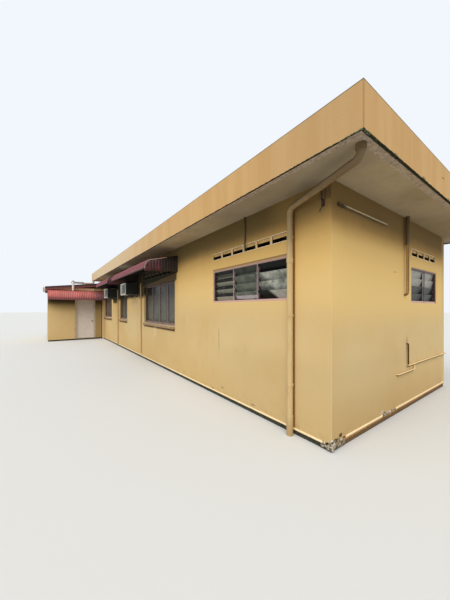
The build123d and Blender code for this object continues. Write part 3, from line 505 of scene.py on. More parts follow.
def wingMarks(box):
    # The wing's front is darker towards its eave, grime with painted shade, most under its awning, and has
    # painted shade beside the corner pipe
    box.coat("wingGrimeAndShade", box.fade("Z", 1.35, 2.0, 0.8))
    # Painted shade under the wing's awning
    box.coat("wingAwningShade", box.fade("Z", 1.72, 1.98, 0.8))
    box.coat("wingStrip", box.within(X=(-13.21, -13.19, 0.01), Z=(2.535, 2.64, 0.01)), 0.9)
    # Painted shade beside the corner
    box.coat("wingShade", box.window("Y", -0.42, 0.0, 0.05), 0.5)
    box.coat("wingRust", box.near("Y", -0.09, 0.014, 0.012), 0.75)


paintNodes(wallPaint("seenPlaster", 0.92, frontMarks), "front_wall", "end_wall")
paintNodes(wallPaint("otherPlaster", 0.7), "back_wall", "inner_wall")
paintNodes(wallPaint("wingPlaster", 0.92, wingMarks), "wing_wall_left", "wing_wall_right",
           "wing_wall_over_door")
paintNodes(wallPaint("wingSidePlaster", 0.3), "wing_side_wall", "wing_back_wall", "wing_far_wall")
print("plaster")

# Fascia: painted concrete with upright rain streaks, mossy and flaking underneath
fasciaLook = {
    "face": (209, 166, 108), "pale": (218, 178, 122), "streak": (180, 138, 88), "stain": (132, 100, 62),
    "faded": (226, 205, 170), "dull": (170, 142, 108), "mossAndShade": (26, 26, 14), "greenMoss": (46, 52, 32),
    "lichen": (148, 158, 128), "band": (206, 194, 180), "bandDark": (160, 144, 126),
    "joint": (170, 112, 62), "coping": (92, 86, 72), "mark": (70, 52, 34), "bumpHeight": 0.0015,
    "lip": 0.037, "bandWidth": 0.075,
    "marks": ((2.05, 3.25, 0.05, 0.012), (1.36, 3.036, 0.05, 0.022), (0.62, 3.03, 0.04, 0.016),
        (2.3, 3.034, 0.05, 0.02))}
roofLow = Vector(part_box("fascia_front")[0]) - Vector(corner)
roofHigh = Vector((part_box("fascia_end")[1].x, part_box("fascia_back")[1].y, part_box("fascia_end")[1].z))
roofHigh -= Vector(corner)


def rimInset(box):
    # Distance in from the nearest of the roof's three open edges
    inset = box.math("MINIMUM", box.before("X", roofHigh.x), box.past("Y", roofLow.y))
    return box.math("MINIMUM", inset, box.before("Y", roofHigh.y))


def underside(box, color, inset):
    # Moss and painted shade along the lip and groove, then a pale flaking band with a ragged inner edge
    look = fasciaLook
    reach = box.plus(0.018, box.times(box.fade("Y", roofLow.y + 0.2, roofLow.y + 0.5), 0.04))
    ragged = box.plus(inset, box.sway(box.noise(9.0, 4, 0.7, seed=9.0), reach))
    edge = look["lip"] + look["bandWidth"]
    band = box.mix(box.patch(30.0, 0.4, 0.65, rough=0.7), look["band"], look["bandDark"])
    color = box.mix(box.fade(ragged, edge + 0.012, edge, 0.85), color, band)
    fine = box.plus(inset, box.sway(box.noise(26.0, 4, 0.7, seed=4.0), 0.03))
    green = box.times(box.window("X", roofHigh.x - 0.5, roofHigh.x, 0.3),
                      box.window("Y", roofLow.y, roofLow.y + 1.8, 0.6), 0.7)
    speck = box.times(box.window("X", roofHigh.x - 0.2, roofHigh.x, 0.05),
                      box.window("Y", roofLow.y, roofLow.y + 0.22, 0.06),
                      box.patch(60.0, 0.5, 0.62, rough=0.7))
    mossAndShade = box.mix(speck, box.mix(green, look["mossAndShade"], look["greenMoss"]), look["lichen"])
    return box.mix(box.fade(fine, look["lip"] + 0.008, look["lip"] - 0.004), color, mossAndShade)


def fasciaPaint():
    # Colour by noise drawn out along z, a rusty joint at the corner, a dark coping line on top
    look = fasciaLook
    box = paintBox("fasciaPaint", look, "face", roughness=0.85, shine=0.2)
    thin = box.noise(1.0, 4, 0.65, stretch=(22.0, 22.0, 0.9), seed=4.0)
    box.coat("pale", box.patch(1.0, 0.35, 0.7, stretch=(3.2, 3.2, 0.25)))
    box.coat("streak", box.fade(thin, 0.5, 0.78), 0.14)
    box.coat("stain", box.fade(thin, 0.6, 0.8), box.fade("Z", roofHigh.z - 0.25, roofHigh.z), 0.3)
    box.coat("faded", box.fade("X", -2.0, -9.0, 0.8))
    box.coat("dull", box.fade("X", roofHigh.x - 1.8, roofHigh.x - 0.3),
             box.fade("Y", roofLow.y + 0.03, roofLow.y + 0.01), 0.3)
    box.coat("joint", box.near("X", roofHigh.x, 0.006, 0.004), box.near("Y", roofLow.y, 0.006, 0.004), 0.5)
    for place, level, wide, tall in look["marks"]:
        box.coat("mark", box.spot(0.6, 30.0, Y=(roofLow.y + place, wide), Z=(level, tall)), 0.6)
    inset = rimInset(box)
    # Painted shade with moss on the fascia's underside and along the foot of its face
    low = box.times(box.fade("Z", soffitZ + 0.021, soffitZ + 0.019), box.fade(inset, 0.0006, 0.0012))
    rough = box.times(box.patch(20.0, 0.35, 0.6, rough=0.7, seed=11.0), 0.007)
    lipFoot = box.math("SUBTRACT", box.axis("Z"), rough)
    lipFoot = box.fade(lipFoot, roofLow.z + 0.0022, roofLow.z + 0.0006)
    box.coat(underside(box, look["band"], inset), box.math("MAXIMUM", low, lipFoot))
    box.coat("coping", box.fade("Z", roofHigh.z - 0.012, roofHigh.z - 0.006, 0.8))
    bump = box.plus(box.noise(60.0, 3), box.times(box.noise(5.0, 2, 0.5), 1.5))
    return box.dress(bump, look["bumpHeight"])


paintNodes(fasciaPaint(), "fascia_front", "fascia_back", "fascia_end", "fascia_far")

# Soffit and the felted roof deck above it
soffitLook = {
    "face": (208, 195, 166), "dark": (180, 166, 138), "warm": (190, 170, 130),
    "nearFront": (158, 148, 130), "back": (150, 136, 110), "felt": (104, 104, 98), "lap": (70, 70, 66),
    "feltWidth": 0.95, "bumpHeight": 0.002}


def soffitPaint():
    # Blotched painted concrete; above it felt in strips, with a dark lap at each strip's edge
    look = soffitLook
    box = paintBox("soffitPaint", look, "face", roughness=0.92, shine=0.2)
    spots = box.noise(11.0, 5, 0.7, seed=2.0)
    box.coat("dark", box.patch(1.3, 0.35, 0.68, detail=5, rough=0.62))
    box.coat("dark", box.fade(spots, 0.5, 0.7), 0.35)
    box.coat("warm", box.patch(0.8, 0.45, 0.7, detail=3, rough=0.5, seed=6.0), 0.5)
    box.coat("nearFront", box.within(X=(-1.6, 0.2, 0.5), Y=(-0.45, 0.0, 0.1)), 0.5)
    box.coat("back", box.fade("Y", 0.0, 2.4, 0.42))
    box.color = underside(box, box.color, rimInset(box))
    strip = box.math("FRACT", box.math("DIVIDE", box.axis("X"), look["feltWidth"]))
    felt = box.mix(box.times(box.fade(spots, 0.4, 0.7), 0.4), "felt", "lap")
    felt = box.mix(box.fade(strip, 0.03, 0.012), felt, "lap")
    box.coat(felt, box.fade("Z", soffitZ + 0.06, soffitZ + 0.1))
    return box.dress(box.plus(box.noise(45.0, 4, 0.65), box.times(spots, 1.5)), look["bumpHeight"])


paintNodes(soffitPaint(), "roof_slab")
print("fascia and soffit")


# Plain paints: where in the noise the second colour begins and is full, its share, and the bump
grainLook = {"begins": 0.4, "full": 0.7, "share": 0.6, "finer": 6, "bumpHeight": 0.0005}


def plainPaint(name, base, second, scale, roughness, metallic=0.0, stretch=None, extra=None):
    # Two colours mixed by noise, with a bump by a finer noise
    grain = grainLook
    box = paintBox(name, {"base": base, "second": second}, "base", roughness, metallic)
    box.coat("second", box.patch(scale, grain["begins"], grain["full"], stretch=stretch), grain["share"])
    if extra:
        extra(box)
    return box.dress(scale * grain["finer"], grain["bumpHeight"])


# Corrugated awning skins: the side view of each is a straight fall, a round bend and an upright lip
awningLook = {
    "pitch": 0.076, "wave": 0.008, "lift": 0.0055, "skin": 0.0015, "steps": 36, "cheekPitch": 0.07,
    "cheekRise": 0.008, "cheekSkin": 0.004, "sheet": 0.004, "stripWidth": 0.008, "stripRise": 0.010,
    "stripFrom": 0.3, "stripSteps": 60, "wavePoints": 8, "cheekColumns": 93, "cheekRows": 4,
    "cheekEdge": (0.006, 0.003, 0.001), "lip": (138, 88, 92), "dusk": (118, 60, 66),
    "bend": (122, 52, 60), "top": (84, 50, 46), "under": (26, 20, 20), "cheek": (92, 38, 44),
    "cheekDark": (27, 23, 21), "strip": (236, 200, 192), "stripDark": (190, 140, 132),
    "wing": (204, 106, 97), "wingBand": (138, 78, 84), "wingEnd": (92, 56, 62), "wingRust": (140, 72, 56),
    "groove": (70, 32, 38), "bumpHeight": 0.0004}
nearShape = {
    "node": "near_awning_sheet", "slot": "awning_paint", "out": (0, -1, 0), "along": (1, 0, 0),
    "top": 2.86, "projection": 0.8, "slope": 13.3, "bend": 0.195, "lip": 2.488, "cheekFoot": 2.48,
    "cheekFront": 2.435}
wingShape = {
    "node": "wing_awning_sheet", "slot": "wing_awning_paint", "out": (1, 0, 0), "along": (0, 1, 0),
    "top": 2.5, "projection": 0.6, "slope": 12.0, "bend": 0.35, "lip": 2.015, "cheekFoot": 2.06,
    "cheekFront": 2.015}
awnings = {"near": nearShape, "far": dict(nearShape, node="far_awning_sheet"), "wing": wingShape}


def awningBend(shape):
    # The slope, the bend's centre as distance out and height, and how far out the bend starts
    slope = math.radians(shape["slope"])
    middleOut = shape["projection"] - shape["bend"]
    bendOut = middleOut + shape["bend"] * math.sin(slope)
    middleHigh = shape["top"] - bendOut * math.tan(slope) - shape["bend"] * math.cos(slope)
    return slope, middleOut, middleHigh, bendOut


def skinLine(shape, count):
    # Points (out, height) at even steps along the side view, with the outward direction at each:
    # the direction's angle from upright is the slope, then grows by length over radius to a right angle
    slope, middleOut, middleHigh, bendOut = awningBend(shape)
    straight = bendOut / math.cos(slope)
    turn = shape["bend"] * (math.pi / 2 - slope)
    run = np.linspace(0, straight + turn + middleHigh - shape["lip"], count)
    angle = slope + np.clip((run - straight) / shape["bend"], 0, math.pi / 2 - slope)
    out = np.where(run < straight, run * math.cos(slope), middleOut + shape["bend"] * np.sin(angle))
    high = np.where(run < straight, shape["top"] - run * math.sin(slope),
                    middleHigh + shape["bend"] * np.cos(angle) - np.clip(run - straight - turn, 0, None))
    return np.stack([out, high], axis=-1), np.stack([np.sin(angle), np.cos(angle)], axis=-1)


def awningPoints(shape, along, sideView):
    # Points of the scene from distances along an awning and (out, height) pairs, as whole arrays
    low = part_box(shape["node"])[0]
    outward, forward = np.array(shape["out"], float), np.array(shape["along"], float)
    start = np.array([low.x, cornerY if shape["along"][0] else low.y, 0.0])
    return (start + np.asarray(along)[..., None] * forward + sideView[..., :1] * outward
            + sideView[..., 1:] * np.array([0.0, 0.0, 1.0]))


def awningLength(shape):
    # The sheet's length along its wall
    low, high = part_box(shape["node"])
    return high.x - low.x if shape["along"][0] else high.y - low.y


def awningSkin(name, shape, material):
    # Offset from the side view: lift + wave times cos(2 pi times the distance along, over the pitch)
    look = awningLook
    length = awningLength(shape)
    along = np.linspace(0, length, int(length / look["pitch"] * look["wavePoints"]) + 1)
    line, away = skinLine(shape, look["steps"])
    offset = look["lift"] + look["wave"] * np.cos(2 * math.pi * along / look["pitch"])
    grids = []
    for skin in (look["skin"], -look["skin"]):
        sideView = line[:, None, :] + away[:, None, :] * (offset + skin)[None, :, None]
        grids.append(awningPoints(shape, np.broadcast_to(along, sideView.shape[:2]), sideView))
    standOn(thinShell(name, *grids, material), shape["slot"], shape["node"])


def awningCheek(name, shape, place, outward, material):
    # A side panel: its top follows the skin's underside, its foot runs straight from wall to lip, and
    # upright ribs rise by half of 1 - cos(2 pi times the distance out, over the pitch)
    look = awningLook
    slope, middleOut, middleHigh = awningBend(shape)[:3]
    radius = shape["bend"] - look["sheet"]
    reach = shape["projection"] - look["sheet"]
    out = np.unique([*np.linspace(0, reach, look["cheekColumns"]), *(reach - np.array(look["cheekEdge"]))])
    size = (len(out), look["cheekRows"])
    straight = shape["top"] - out * math.tan(slope) - look["sheet"] / math.cos(slope)
    rounded = middleHigh + np.sqrt(np.clip(radius ** 2 - np.clip(out - middleOut, 0, None) ** 2, 0, None))
    top = np.where(out < middleOut + radius * math.sin(slope), straight, rounded)
    foot = shape["cheekFoot"] + (shape["cheekFront"] - shape["cheekFoot"]) * out / shape["projection"]
    high = foot[:, None] + (top - foot)[:, None] * np.linspace(0, 1, size[1])[None, :]
    sideView = np.stack([np.broadcast_to(out[:, None], size), high], axis=-1)
    rise = look["cheekRise"] * (0.5 - 0.5 * np.cos(2 * math.pi * out / look["cheekPitch"]))
    faces = [place + outward * np.broadcast_to(rise[:, None], size),
             np.full(size, place - outward * look["cheekSkin"])]
    grids = [awningPoints(shape, along, sideView) for along in faces]
    standOn(thinShell(name, *grids, material), shape["slot"], "awning_cheeks")


def awningStrip(name, shape, place, outward, material):
    # A narrow pale strip swept along the curved edge of a side panel, from a share of its length onwards;
    # it is a painted highlight along that edge
    look = awningLook
    first = int(look["stripSteps"] * look["stripFrom"])
    line, away = [part[first:] for part in skinLine(shape, look["stripSteps"])]
    rings = []
    for depth, rise in ((0.0, 0.0), (0.0, 1.0), (1.0, 1.0), (1.0, 0.0)):
        sideView = line - away * (look["sheet"] + depth * look["stripWidth"])
        along = np.full(len(line), place + outward * rise * look["stripRise"])
        rings.append(awningPoints(shape, along, sideView))
    standOn(ringTube(name, np.stack(rings, axis=1), material, smooth=False), shape["slot"])


def grooves(box, name, node, depth):
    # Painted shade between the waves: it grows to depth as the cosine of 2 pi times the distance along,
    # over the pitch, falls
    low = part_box(node)[0]["XYZ".index(name)] - cornerPlace[name]
    turn = box.times(box.past(name, low), 2 * math.pi / awningLook["pitch"])
    return box.times(box.fade(box.math("COSINE", turn), 0.4, -0.9), depth)


def awningPaint(name, node):
    # Dull maroon sheet: pink-grey lip, darker weathered slope with painted shade between the waves, and
    # painted shade on the inside
    box = paintBox(name, awningLook, "lip", roughness=0.55)
    patches = box.noise(3.0)
    box.coat("dusk", box.fade(patches, 0.4, 0.7))
    box.coat("bend", box.fade("Z", 2.53, 2.59))
    box.coat("top", box.patch(1.0, 0.5, 0.75, rough=0.65, stretch=(24.0, 24.0, 1.4), seed=2.0), 0.4)
    box.coat("groove", grooves(box, "X", node, 0.85))
    box.coat("top", box.fade(box.plus(box.axis("Z"), box.times(patches, 0.05)), 2.67, 2.74))
    inward = box.plus(box.axis("Z", "True Normal"), box.times(box.axis("Y", "True Normal"), -1.0))
    # Painted shade on the faces turned down and towards the wall
    box.coat("under", box.fade(inward, -0.05, -0.3))
    return box.dress(40.0, awningLook["bumpHeight"])


def cheekPaint():
    # Two tones by noise, dark maroon and the near-black of painted shade, which lies alone near the wall
    box = paintBox("cheekPaint", awningLook, "cheek", roughness=0.6)
    box.coat("cheekDark", box.patch(4.0, 0.35, 0.7))
    # Painted shade near the wall
    box.coat("cheekDark", box.fade(box.before("Y", 0.0), 0.45, 0.4, 0.9))
    return box.dress(40.0, awningLook["bumpHeight"])


def wingAwningPaint():
    # Salmon sheet with rust specks, a mauve band low on the lip, painted shade between the waves and
    # at the end by the long wall
    box = paintBox("wingAwningPaint", awningLook, "wing", roughness=0.5)
    box.coat("wingRust", box.patch(3.0, 0.35, 0.75, 0.6))
    box.coat("wingBand", box.fade("Z", 2.17, 2.11, 0.85))
    box.coat("groove", grooves(box, "Y", wingShape["node"], 0.42))
    # Painted shade at the end by the long wall
    box.coat("wingEnd", box.fade("Y", -0.75, -0.25, 0.75))
    return box.dress(40.0, awningLook["bumpHeight"])


cheekMaterial, wingAwningMaterial = cheekPaint(), wingAwningPaint()
for label, shape in awnings.items():
    material = awningPaint(f"{label}AwningPaint", shape["node"]) if label != "wing" else wingAwningMaterial
    awningSkin(f"{label}AwningSkin", shape, material)
for label in ("near", "far"):
    shape = awnings[label]
    awningCheek(f"{label}AwningNearCheek", shape, awningLength(shape), 1, cheekMaterial)
    awningCheek(f"{label}AwningFarCheek", shape, 0.0, -1, cheekMaterial)
awningCheek("wingAwningCheek", wingShape, 0.0, -1, wingAwningMaterial)
# Pale paint of the strip: a painted highlight
stripMaterial = plainPaint("stripPaint", awningLook["strip"], awningLook["stripDark"], 12.0, 0.5)
awningStrip("nearAwningStrip", nearShape, awningLength(nearShape), 1, stripMaterial)
print("awnings")

# Wing roof: corrugated sheets laid over the plate, their waves running down the slope
wingRoofLook = {
    "pitch": 0.076, "wave": 0.009, "lift": 0.0125, "skin": 0.0015, "eaveY": -2.56, "ridgeY": 0.825,
    "backY": 4.2, "eaveTop": 2.627, "eaveAt": -2.55, "rise": 0.11658, "farX": -16.31, "blockX": -13.352,
    "vergeX": -13.1, "ridgeHalf": 0.14, "ridgeEase": 0.02, "ridgeLift": 0.028, "wavePoints": 8,
    "rows": 12, "ridgeSize": (30, 15), "vergeEnd": -0.005, "vergeSteps": 24, "lap": 0.01, "play": 0.004,
    "face": (128, 74, 62), "dark": (92, 56, 50), "ridge": (110, 66, 56), "verge": (52, 34, 32),
    "vergePale": (84, 52, 48),
    "vergeProfile": ((-13.19, 0.0225), (-13.19, 0.0265), (-13.072, 0.0265), (-13.072, -0.05),
        (-13.0765, -0.05), (-13.0765, 0.0225))}


def wingRoofTop(y):
    # Height of the plate's upper face: it rises at the pitch from both eaves to the ridge
    look = wingRoofLook
    return look["eaveTop"] + (np.minimum(y, 2 * look["ridgeY"] - y) - look["eaveAt"]) * look["rise"]


def roofShell(name, gridX, gridY, height, material):
    # A sheet of the roof, half its thickness above and below a grid of heights
    skin = wingRoofLook["skin"]
    grids = [np.stack([gridX, gridY, height + side], axis=-1) + corner for side in (skin, -skin)]
    standOn(thinShell(name, *grids, material), "roof_sheet")


def wingRoofSheet(name, highX, lowY, highY, material):
    # Height: the plate's, plus lift + wave times cos(2 pi x / pitch)
    look = wingRoofLook
    count = int((highX - look["farX"]) / look["pitch"] * look["wavePoints"]) + 1
    x = np.linspace(look["farX"], highX, count)
    gridX, gridY = np.meshgrid(x, np.linspace(lowY, highY, look["rows"]))
    wave = look["lift"] + look["wave"] * np.cos(2 * math.pi * gridX / look["pitch"])
    roofShell(name, gridX, gridY, wingRoofTop(gridY) + wave, material)


def ridgeCap(name, material):
    # A bent strip over the ridge: it falls from its middle by the roof's rise times the distance, rounded
    look = wingRoofLook
    x = np.linspace(look["farX"], look["blockX"], look["ridgeSize"][0])
    side = np.linspace(-look["ridgeHalf"], look["ridgeHalf"], look["ridgeSize"][1])
    gridX, gridY = np.meshgrid(x, side)
    fall = look["rise"] * (np.sqrt(gridY ** 2 + look["ridgeEase"] ** 2) - look["ridgeEase"])
    level = wingRoofTop(look["ridgeY"]) + look["ridgeLift"]
    roofShell(name, gridX, gridY + look["ridgeY"], level - fall, material)


def vergeStrip(name, material):
    # A bent strip along the verge above the bargeboard, an upside-down L that follows the roof's slope
    look = wingRoofLook
    y = np.linspace(look["eaveY"], look["vergeEnd"], look["vergeSteps"])
    rings = np.stack([np.stack([np.full(len(y), x), y, wingRoofTop(y) + rise], axis=-1)
                      for x, rise in look["vergeProfile"]], axis=1)
    standOn(ringTube(name, rings + corner, material, smooth=False), "roof_sheet")


look = wingRoofLook
wingRoofMaterial = plainPaint("wingRoofPaint", look["face"], look["dark"], 2.5, 0.55, stretch=(6.0, 0.8, 6.0))
wingRoofSheet("wingRoofFront", look["vergeX"] - look["play"], look["eaveY"], -look["play"], wingRoofMaterial)
wingRoofSheet("wingRoofMiddle", look["blockX"], -look["lap"], look["ridgeY"], wingRoofMaterial)
wingRoofSheet("wingRoofBack", look["blockX"], look["ridgeY"], look["backY"] + look["lap"], wingRoofMaterial)
ridgeCap("wingRidgeCap", plainPaint("ridgePaint", look["ridge"], look["dark"], 6.0, 0.55))
vergeStrip("wingVergeStrip", plainPaint("vergePaint", look["verge"], look["vergePale"], 8.0, 0.6))
paintNodes(wingRoofMaterial, "wing_roof")
print("wing roof")

# Louvre windows: bars behind the blades, and the clips that hold each blade's ends
louvreLook = {
    "barPitch": 0.1, "barRadius": 0.006, "barDepth": 0.125, "clipLength": 0.012, "clipHalf": 0.016,
    "clipDepth": 0.012, "face": 0.032, "mullion": 0.016, "blades": 4, "depthMiddle": 0.055,
    "barSides": 12, "barFirst": 0.06, "barLast": 0.04, "barEnd": 0.02, "coverDepth": (0.004, 0.014),
    "coverHalf": 0.004, "endCoverHalf": 0.009, "clipBevel": 0.002, "coverBevel": 0.001,
    "bar": (58, 48, 50), "barPale": (92, 70, 66), "clip": (112, 92, 90), "clipDark": (70, 52, 52),
    "cover": (196, 184, 176), "coverDark": (150, 128, 122)}
sideLouvre = {"low": -2.4, "high": -0.6, "foot": 1.71, "head": 2.3, "bays": 3}
endLouvre = {"low": 2.328, "high": 3.602, "foot": 1.70, "head": 2.29, "bays": 2}
louvres = {"side": (sideLouvre, "front"), "back": (sideLouvre, "back"), "end": (endLouvre, "end")}


def onWall(points, wall):
    # Turns points given as (along, depth into the wall, height) onto the front, back or end wall
    along, depth, height = points[..., 0], points[..., 1], points[..., 2]
    if wall == "end":
        return np.stack([-depth, along, height], axis=-1) + corner
    if wall == "back":
        depth = blockWidth - depth
    return np.stack([along, depth, height], axis=-1) + corner


def openingBays(opening, face, mullion):
    # Low and high edges of the clear bays between an outer frame and its mullions
    clear = (opening["high"] - opening["low"] - 2 * face - (opening["bays"] - 1) * mullion) / opening["bays"]
    lows = opening["low"] + face + np.arange(opening["bays"]) * (clear + mullion)
    return np.stack([lows, lows + clear], axis=-1)


def uprightBars(name, material):
    # Round bars: circles of the bar's radius at the foot, near it, near the head and at the head
    look = louvreLook
    around, end = circle(look["barSides"]), look["barEnd"]
    ring = np.stack([np.cos(around), np.sin(around)], axis=-1) * look["barRadius"]
    points, faces = [], []
    for opening, wall in louvres.values():
        foot, head = opening["foot"], opening["head"]
        levels = np.array([foot, foot + end, head - end, head])
        size = (len(levels), len(ring))
        for place in np.arange(opening["low"] + look["barFirst"], opening["high"] - look["barLast"],
                               look["barPitch"]):
            circles = np.broadcast_to(ring, (*size, 2)) + np.array([place, look["barDepth"]])
            height = np.broadcast_to(levels[:, None, None], (*size, 1))
            faces += tubeFaces(*size, len(points))
            points += onWall(np.concatenate([circles, height], axis=-1), wall).reshape(-1, 3).tolist()
    standOn(turnOutward(meshObject(name, points, faces, material)), "window_paint")


def wallBlocks(name, lows, highs, wall, material, slot, bevel):
    # Blocks given as (along, depth, height) corners and turned onto a wall
    first, second = onWall(np.asarray(lows, float), wall), onWall(np.asarray(highs, float), wall)
    standOn(manyBlocks(name, np.minimum(first, second), np.maximum(first, second), material, bevel), slot)


def bladeClips(name, opening, wall, material):
    # A small clip at both ends of every blade, one row of blades to each share of the clear height
    look = louvreLook
    foot, head = opening["foot"] + look["face"], opening["head"] - look["face"]
    levels = foot + (np.arange(look["blades"]) + 0.5) * (head - foot) / look["blades"]
    bays = openingBays(opening, look["face"], look["mullion"])
    starts = np.concatenate([bays[:, 0], bays[:, 1] - look["clipLength"]])
    along, height = [grid.ravel() for grid in np.meshgrid(starts, levels)]
    depth = np.full(len(along), look["depthMiddle"] - look["clipDepth"])
    lows = np.stack([along, depth, height - look["clipHalf"]], axis=-1)
    highs = lows + np.array([look["clipLength"], 2 * look["clipDepth"], 2 * look["clipHalf"]])
    wallBlocks(name, lows, highs, wall, material, "window_paint", look["clipBevel"])


def mullionCovers(name, opening, wall, half, material):
    # A slim upright strip in front of each mullion, from the frame's foot bar to its head bar
    look = louvreLook
    middles = openingBays(opening, look["face"], look["mullion"])[:-1, 1] + look["mullion"] / 2
    front, back = look["coverDepth"]
    lows = np.stack([middles - half, np.full(len(middles), front),
                     np.full(len(middles), opening["foot"] + look["face"])], axis=-1)
    highs = lows + np.array([2 * half, back - front, opening["head"] - opening["foot"] - 2 * look["face"]])
    wallBlocks(name, lows, highs, wall, material, "window_paint", look["coverBevel"])


look = louvreLook
barMaterial = plainPaint("barPaint", look["bar"], look["barPale"], 10.0, 0.5)
clipMaterial = plainPaint("clipMetal", look["clip"], look["clipDark"], 30.0, 0.4, metallic=0.5)
coverMaterial = plainPaint("coverPaint", look["cover"], look["coverDark"], 20.0, 0.5)
uprightBars("louvreBars", barMaterial)
mullionCovers("sideMullionCovers", *louvres["side"], look["coverHalf"], coverMaterial)
mullionCovers("backMullionCovers", *louvres["back"], look["coverHalf"], coverMaterial)
mullionCovers("endMullionCover", *louvres["end"], look["endCoverHalf"], barMaterial)
for label, (opening, wall) in louvres.items():
    bladeClips(f"{label}BladeClips", opening, wall, clipMaterial)

# Casement windows: glazing beads round each pane
beadLook = {
    "width": 0.014, "near": 0.071, "far": 0.0815, "face": 0.042, "mullion": 0.024, "foot": 1.212,
    "head": 2.268, "bevel": 0.0015, "pale": (160, 124, 116), "dark": (112, 80, 78)}
casements = [{"low": -6.445, "high": -4.125, "bays": 4}, {"low": -9.65, "high": -8.465, "bays": 2},
             {"low": -12.98, "high": -11.18, "bays": 3}]
panes = [(float(low), float(high)) for opening in casements
         for low, high in openingBays(opening, beadLook["face"], beadLook["mullion"])]


def wallFrames(name, wall, spans, width, near, far, material, slot):
    # Four bars round each rectangle: uprights at full height, the others between them
    lows, highs = [], []
    for low, high, foot, head in spans:
        lows += [(low, near, foot), (high - width, near, foot), (low + width, near, foot),
                 (low + width, near, head - width)]
        highs += [(low + width, far, head), (high, far, head), (high - width, far, foot + width),
                  (high - width, far, head)]
    wallBlocks(name, lows, highs, wall, material, slot, beadLook["bevel"])


beadMaterial = plainPaint("beadPaint", beadLook["pale"], beadLook["dark"], 14.0, 0.5)
for wall in ("front", "back"):
    wallFrames(f"{wall}GlazingBeads", wall, [(*pane, beadLook["foot"], beadLook["head"]) for pane in panes],
               beadLook["width"], beadLook["near"], beadLook["far"], beadMaterial, "window_paint")

# Vents: a thin pale rim of plaster round each opening, and a leaning plate in its upper part
ventLook = {
    "rim": 0.012, "proud": 0.005, "bury": 0.01, "width": 0.262, "pitch": 0.3, "hoodDrop": 0.047,
    "hoodLean": 0.006, "hoodDepth": 0.008, "hoodThick": 0.006, "front": (2.505, 2.611),
    "end": (2.479, 2.585), "rows": {"front": ((-2.395, 6), (-6.375, 7)), "end": ((2.345, 4),)},
    "rimPale": (250, 226, 184), "rimDark": (222, 192, 146), "hood": (214, 176, 112),
    "hoodDark": (168, 132, 78), "shaded": {"X": (-6.6, -4.1, 0.02), "Y": (-0.1, 0.1, 0.02)}}


def ventPlaces(row):
    # Low end of every vent in a row: its run's start plus its number times the pitch
    return [start + number * ventLook["pitch"] for start, count in ventLook["rows"][row]
            for number in range(count)]


def ventRims(name, wall, row, material):
    # A frame round each vent, as wide as the rim on every side
    look = ventLook
    rim, (foot, head) = look["rim"], look[row]
    spans = [(low - rim, low + look["width"] + rim, foot - rim, head + rim) for low in ventPlaces(row)]
    wallFrames(name, wall, spans, rim, -look["proud"], look["bury"], material, "wall_plaster")


def ventHoods(name, wall, row, material):
    # A plate in the upper part of each vent that leans inwards, as prisms of a slanted side view
    look = ventLook
    depth, thick, head = look["hoodDepth"], look["hoodThick"], look[row][1]
    foot, deep = head - look["hoodDrop"], depth + look["hoodLean"]
    side = np.array([(depth, head), (deep, foot), (deep + thick, foot), (depth + thick, head)])
    points, faces = [], []
    for low in ventPlaces(row):
        ends = [np.column_stack([np.full(4, place), side]) for place in (low, low + look["width"])]
        faces += tubeFaces(2, 4, len(points))
        points += onWall(np.concatenate(ends), wall).tolist()
    standOn(turnOutward(meshObject(name, points, faces, material, smooth=False)), "wall_plaster")


def shadedByAwning(box):
    # The vents over the big window get the same mould and painted shade as the wall round them
    box.coat(wallLook["mouldAndShade"], box.within(**ventLook["shaded"]), 0.93)


look = ventLook
rimMaterial = plainPaint("rimPlaster", look["rimPale"], look["rimDark"], 12.0, 0.85, extra=shadedByAwning)
hoodMaterial = plainPaint("hoodPlaster", look["hood"], look["hoodDark"], 9.0, 0.85, extra=shadedByAwning)
for make, part, material in ((ventRims, "VentRims", rimMaterial), (ventHoods, "VentHoods", hoodMaterial)):
    for wall, row in (("front", "front"), ("back", "front"), ("end", "end")):
        make(wall + part, wall, row, material)
print("windows and vents")

# Foot of the walls: a ragged lip of render, broken away near the corner, with rubble in the gap.
# Each run: its wall, its low and high end along it, its foot and head
footLook = {
    "step": 0.012, "coarseStep": 0.11, "stepsPast": 0.2, "proud": 0.011, "bury": 0.004,
    "reach": (0.45, 0.5, 0.25), "drop": (0.25, 0.15),
    "runs": {"frontFootLip": ("front", -13.19, -0.1, 0.056, 0.086),
        "endFootLip": ("end", 0.3, 1.27, 0.082, 0.113),
        "endFootLipBeyond": ("end", 1.7, 4.1, 0.082, 0.113)},
    "profile": ((0.0, 1.0, 0.0), (0.7, 0.9, 0.0), (1.0, 0.1, 0.35), (0.6, 0.0, 1.0), (0.0, 0.0, 1.0)),
    "lumps": 60, "chips": 12, "rubbleSeed": 5, "lumpSize": (0.013, 0.038), "lumpGrid": (9, 12),
    "lumpEnd": 0.12, "lumpWaves": 5, "waveScale": 2.6, "waveHeight": 0.12, "spread": (0.13, 0.24),
    "crowding": 1.6, "nearest": 0.005, "frontSize": 0.8, "phaseReach": 6, "heapFoot": 0.02,
    "heapFront": 0.06, "heapEnd": 0.1, "heapFall": 0.12, "heapReach": 0.5, "settle": 1.45,
    "chipSize": 0.9, "chipPlay": 0.02, "chipFrom": 1.22, "chipPitch": 0.042, "chipLevel": 0.1,
    "frontFlat": (1.0, 0.5, 0.8), "endFlat": (0.5, 1.1, 0.8), "lipBump": 0.002, "rubbleBump": 0.003,
    "pale": (252, 228, 182), "warm": (222, 182, 126), "dark": (150, 122, 84), "gap": (70, 62, 50),
    "brick": (150, 136, 112), "white": (216, 206, 188)}


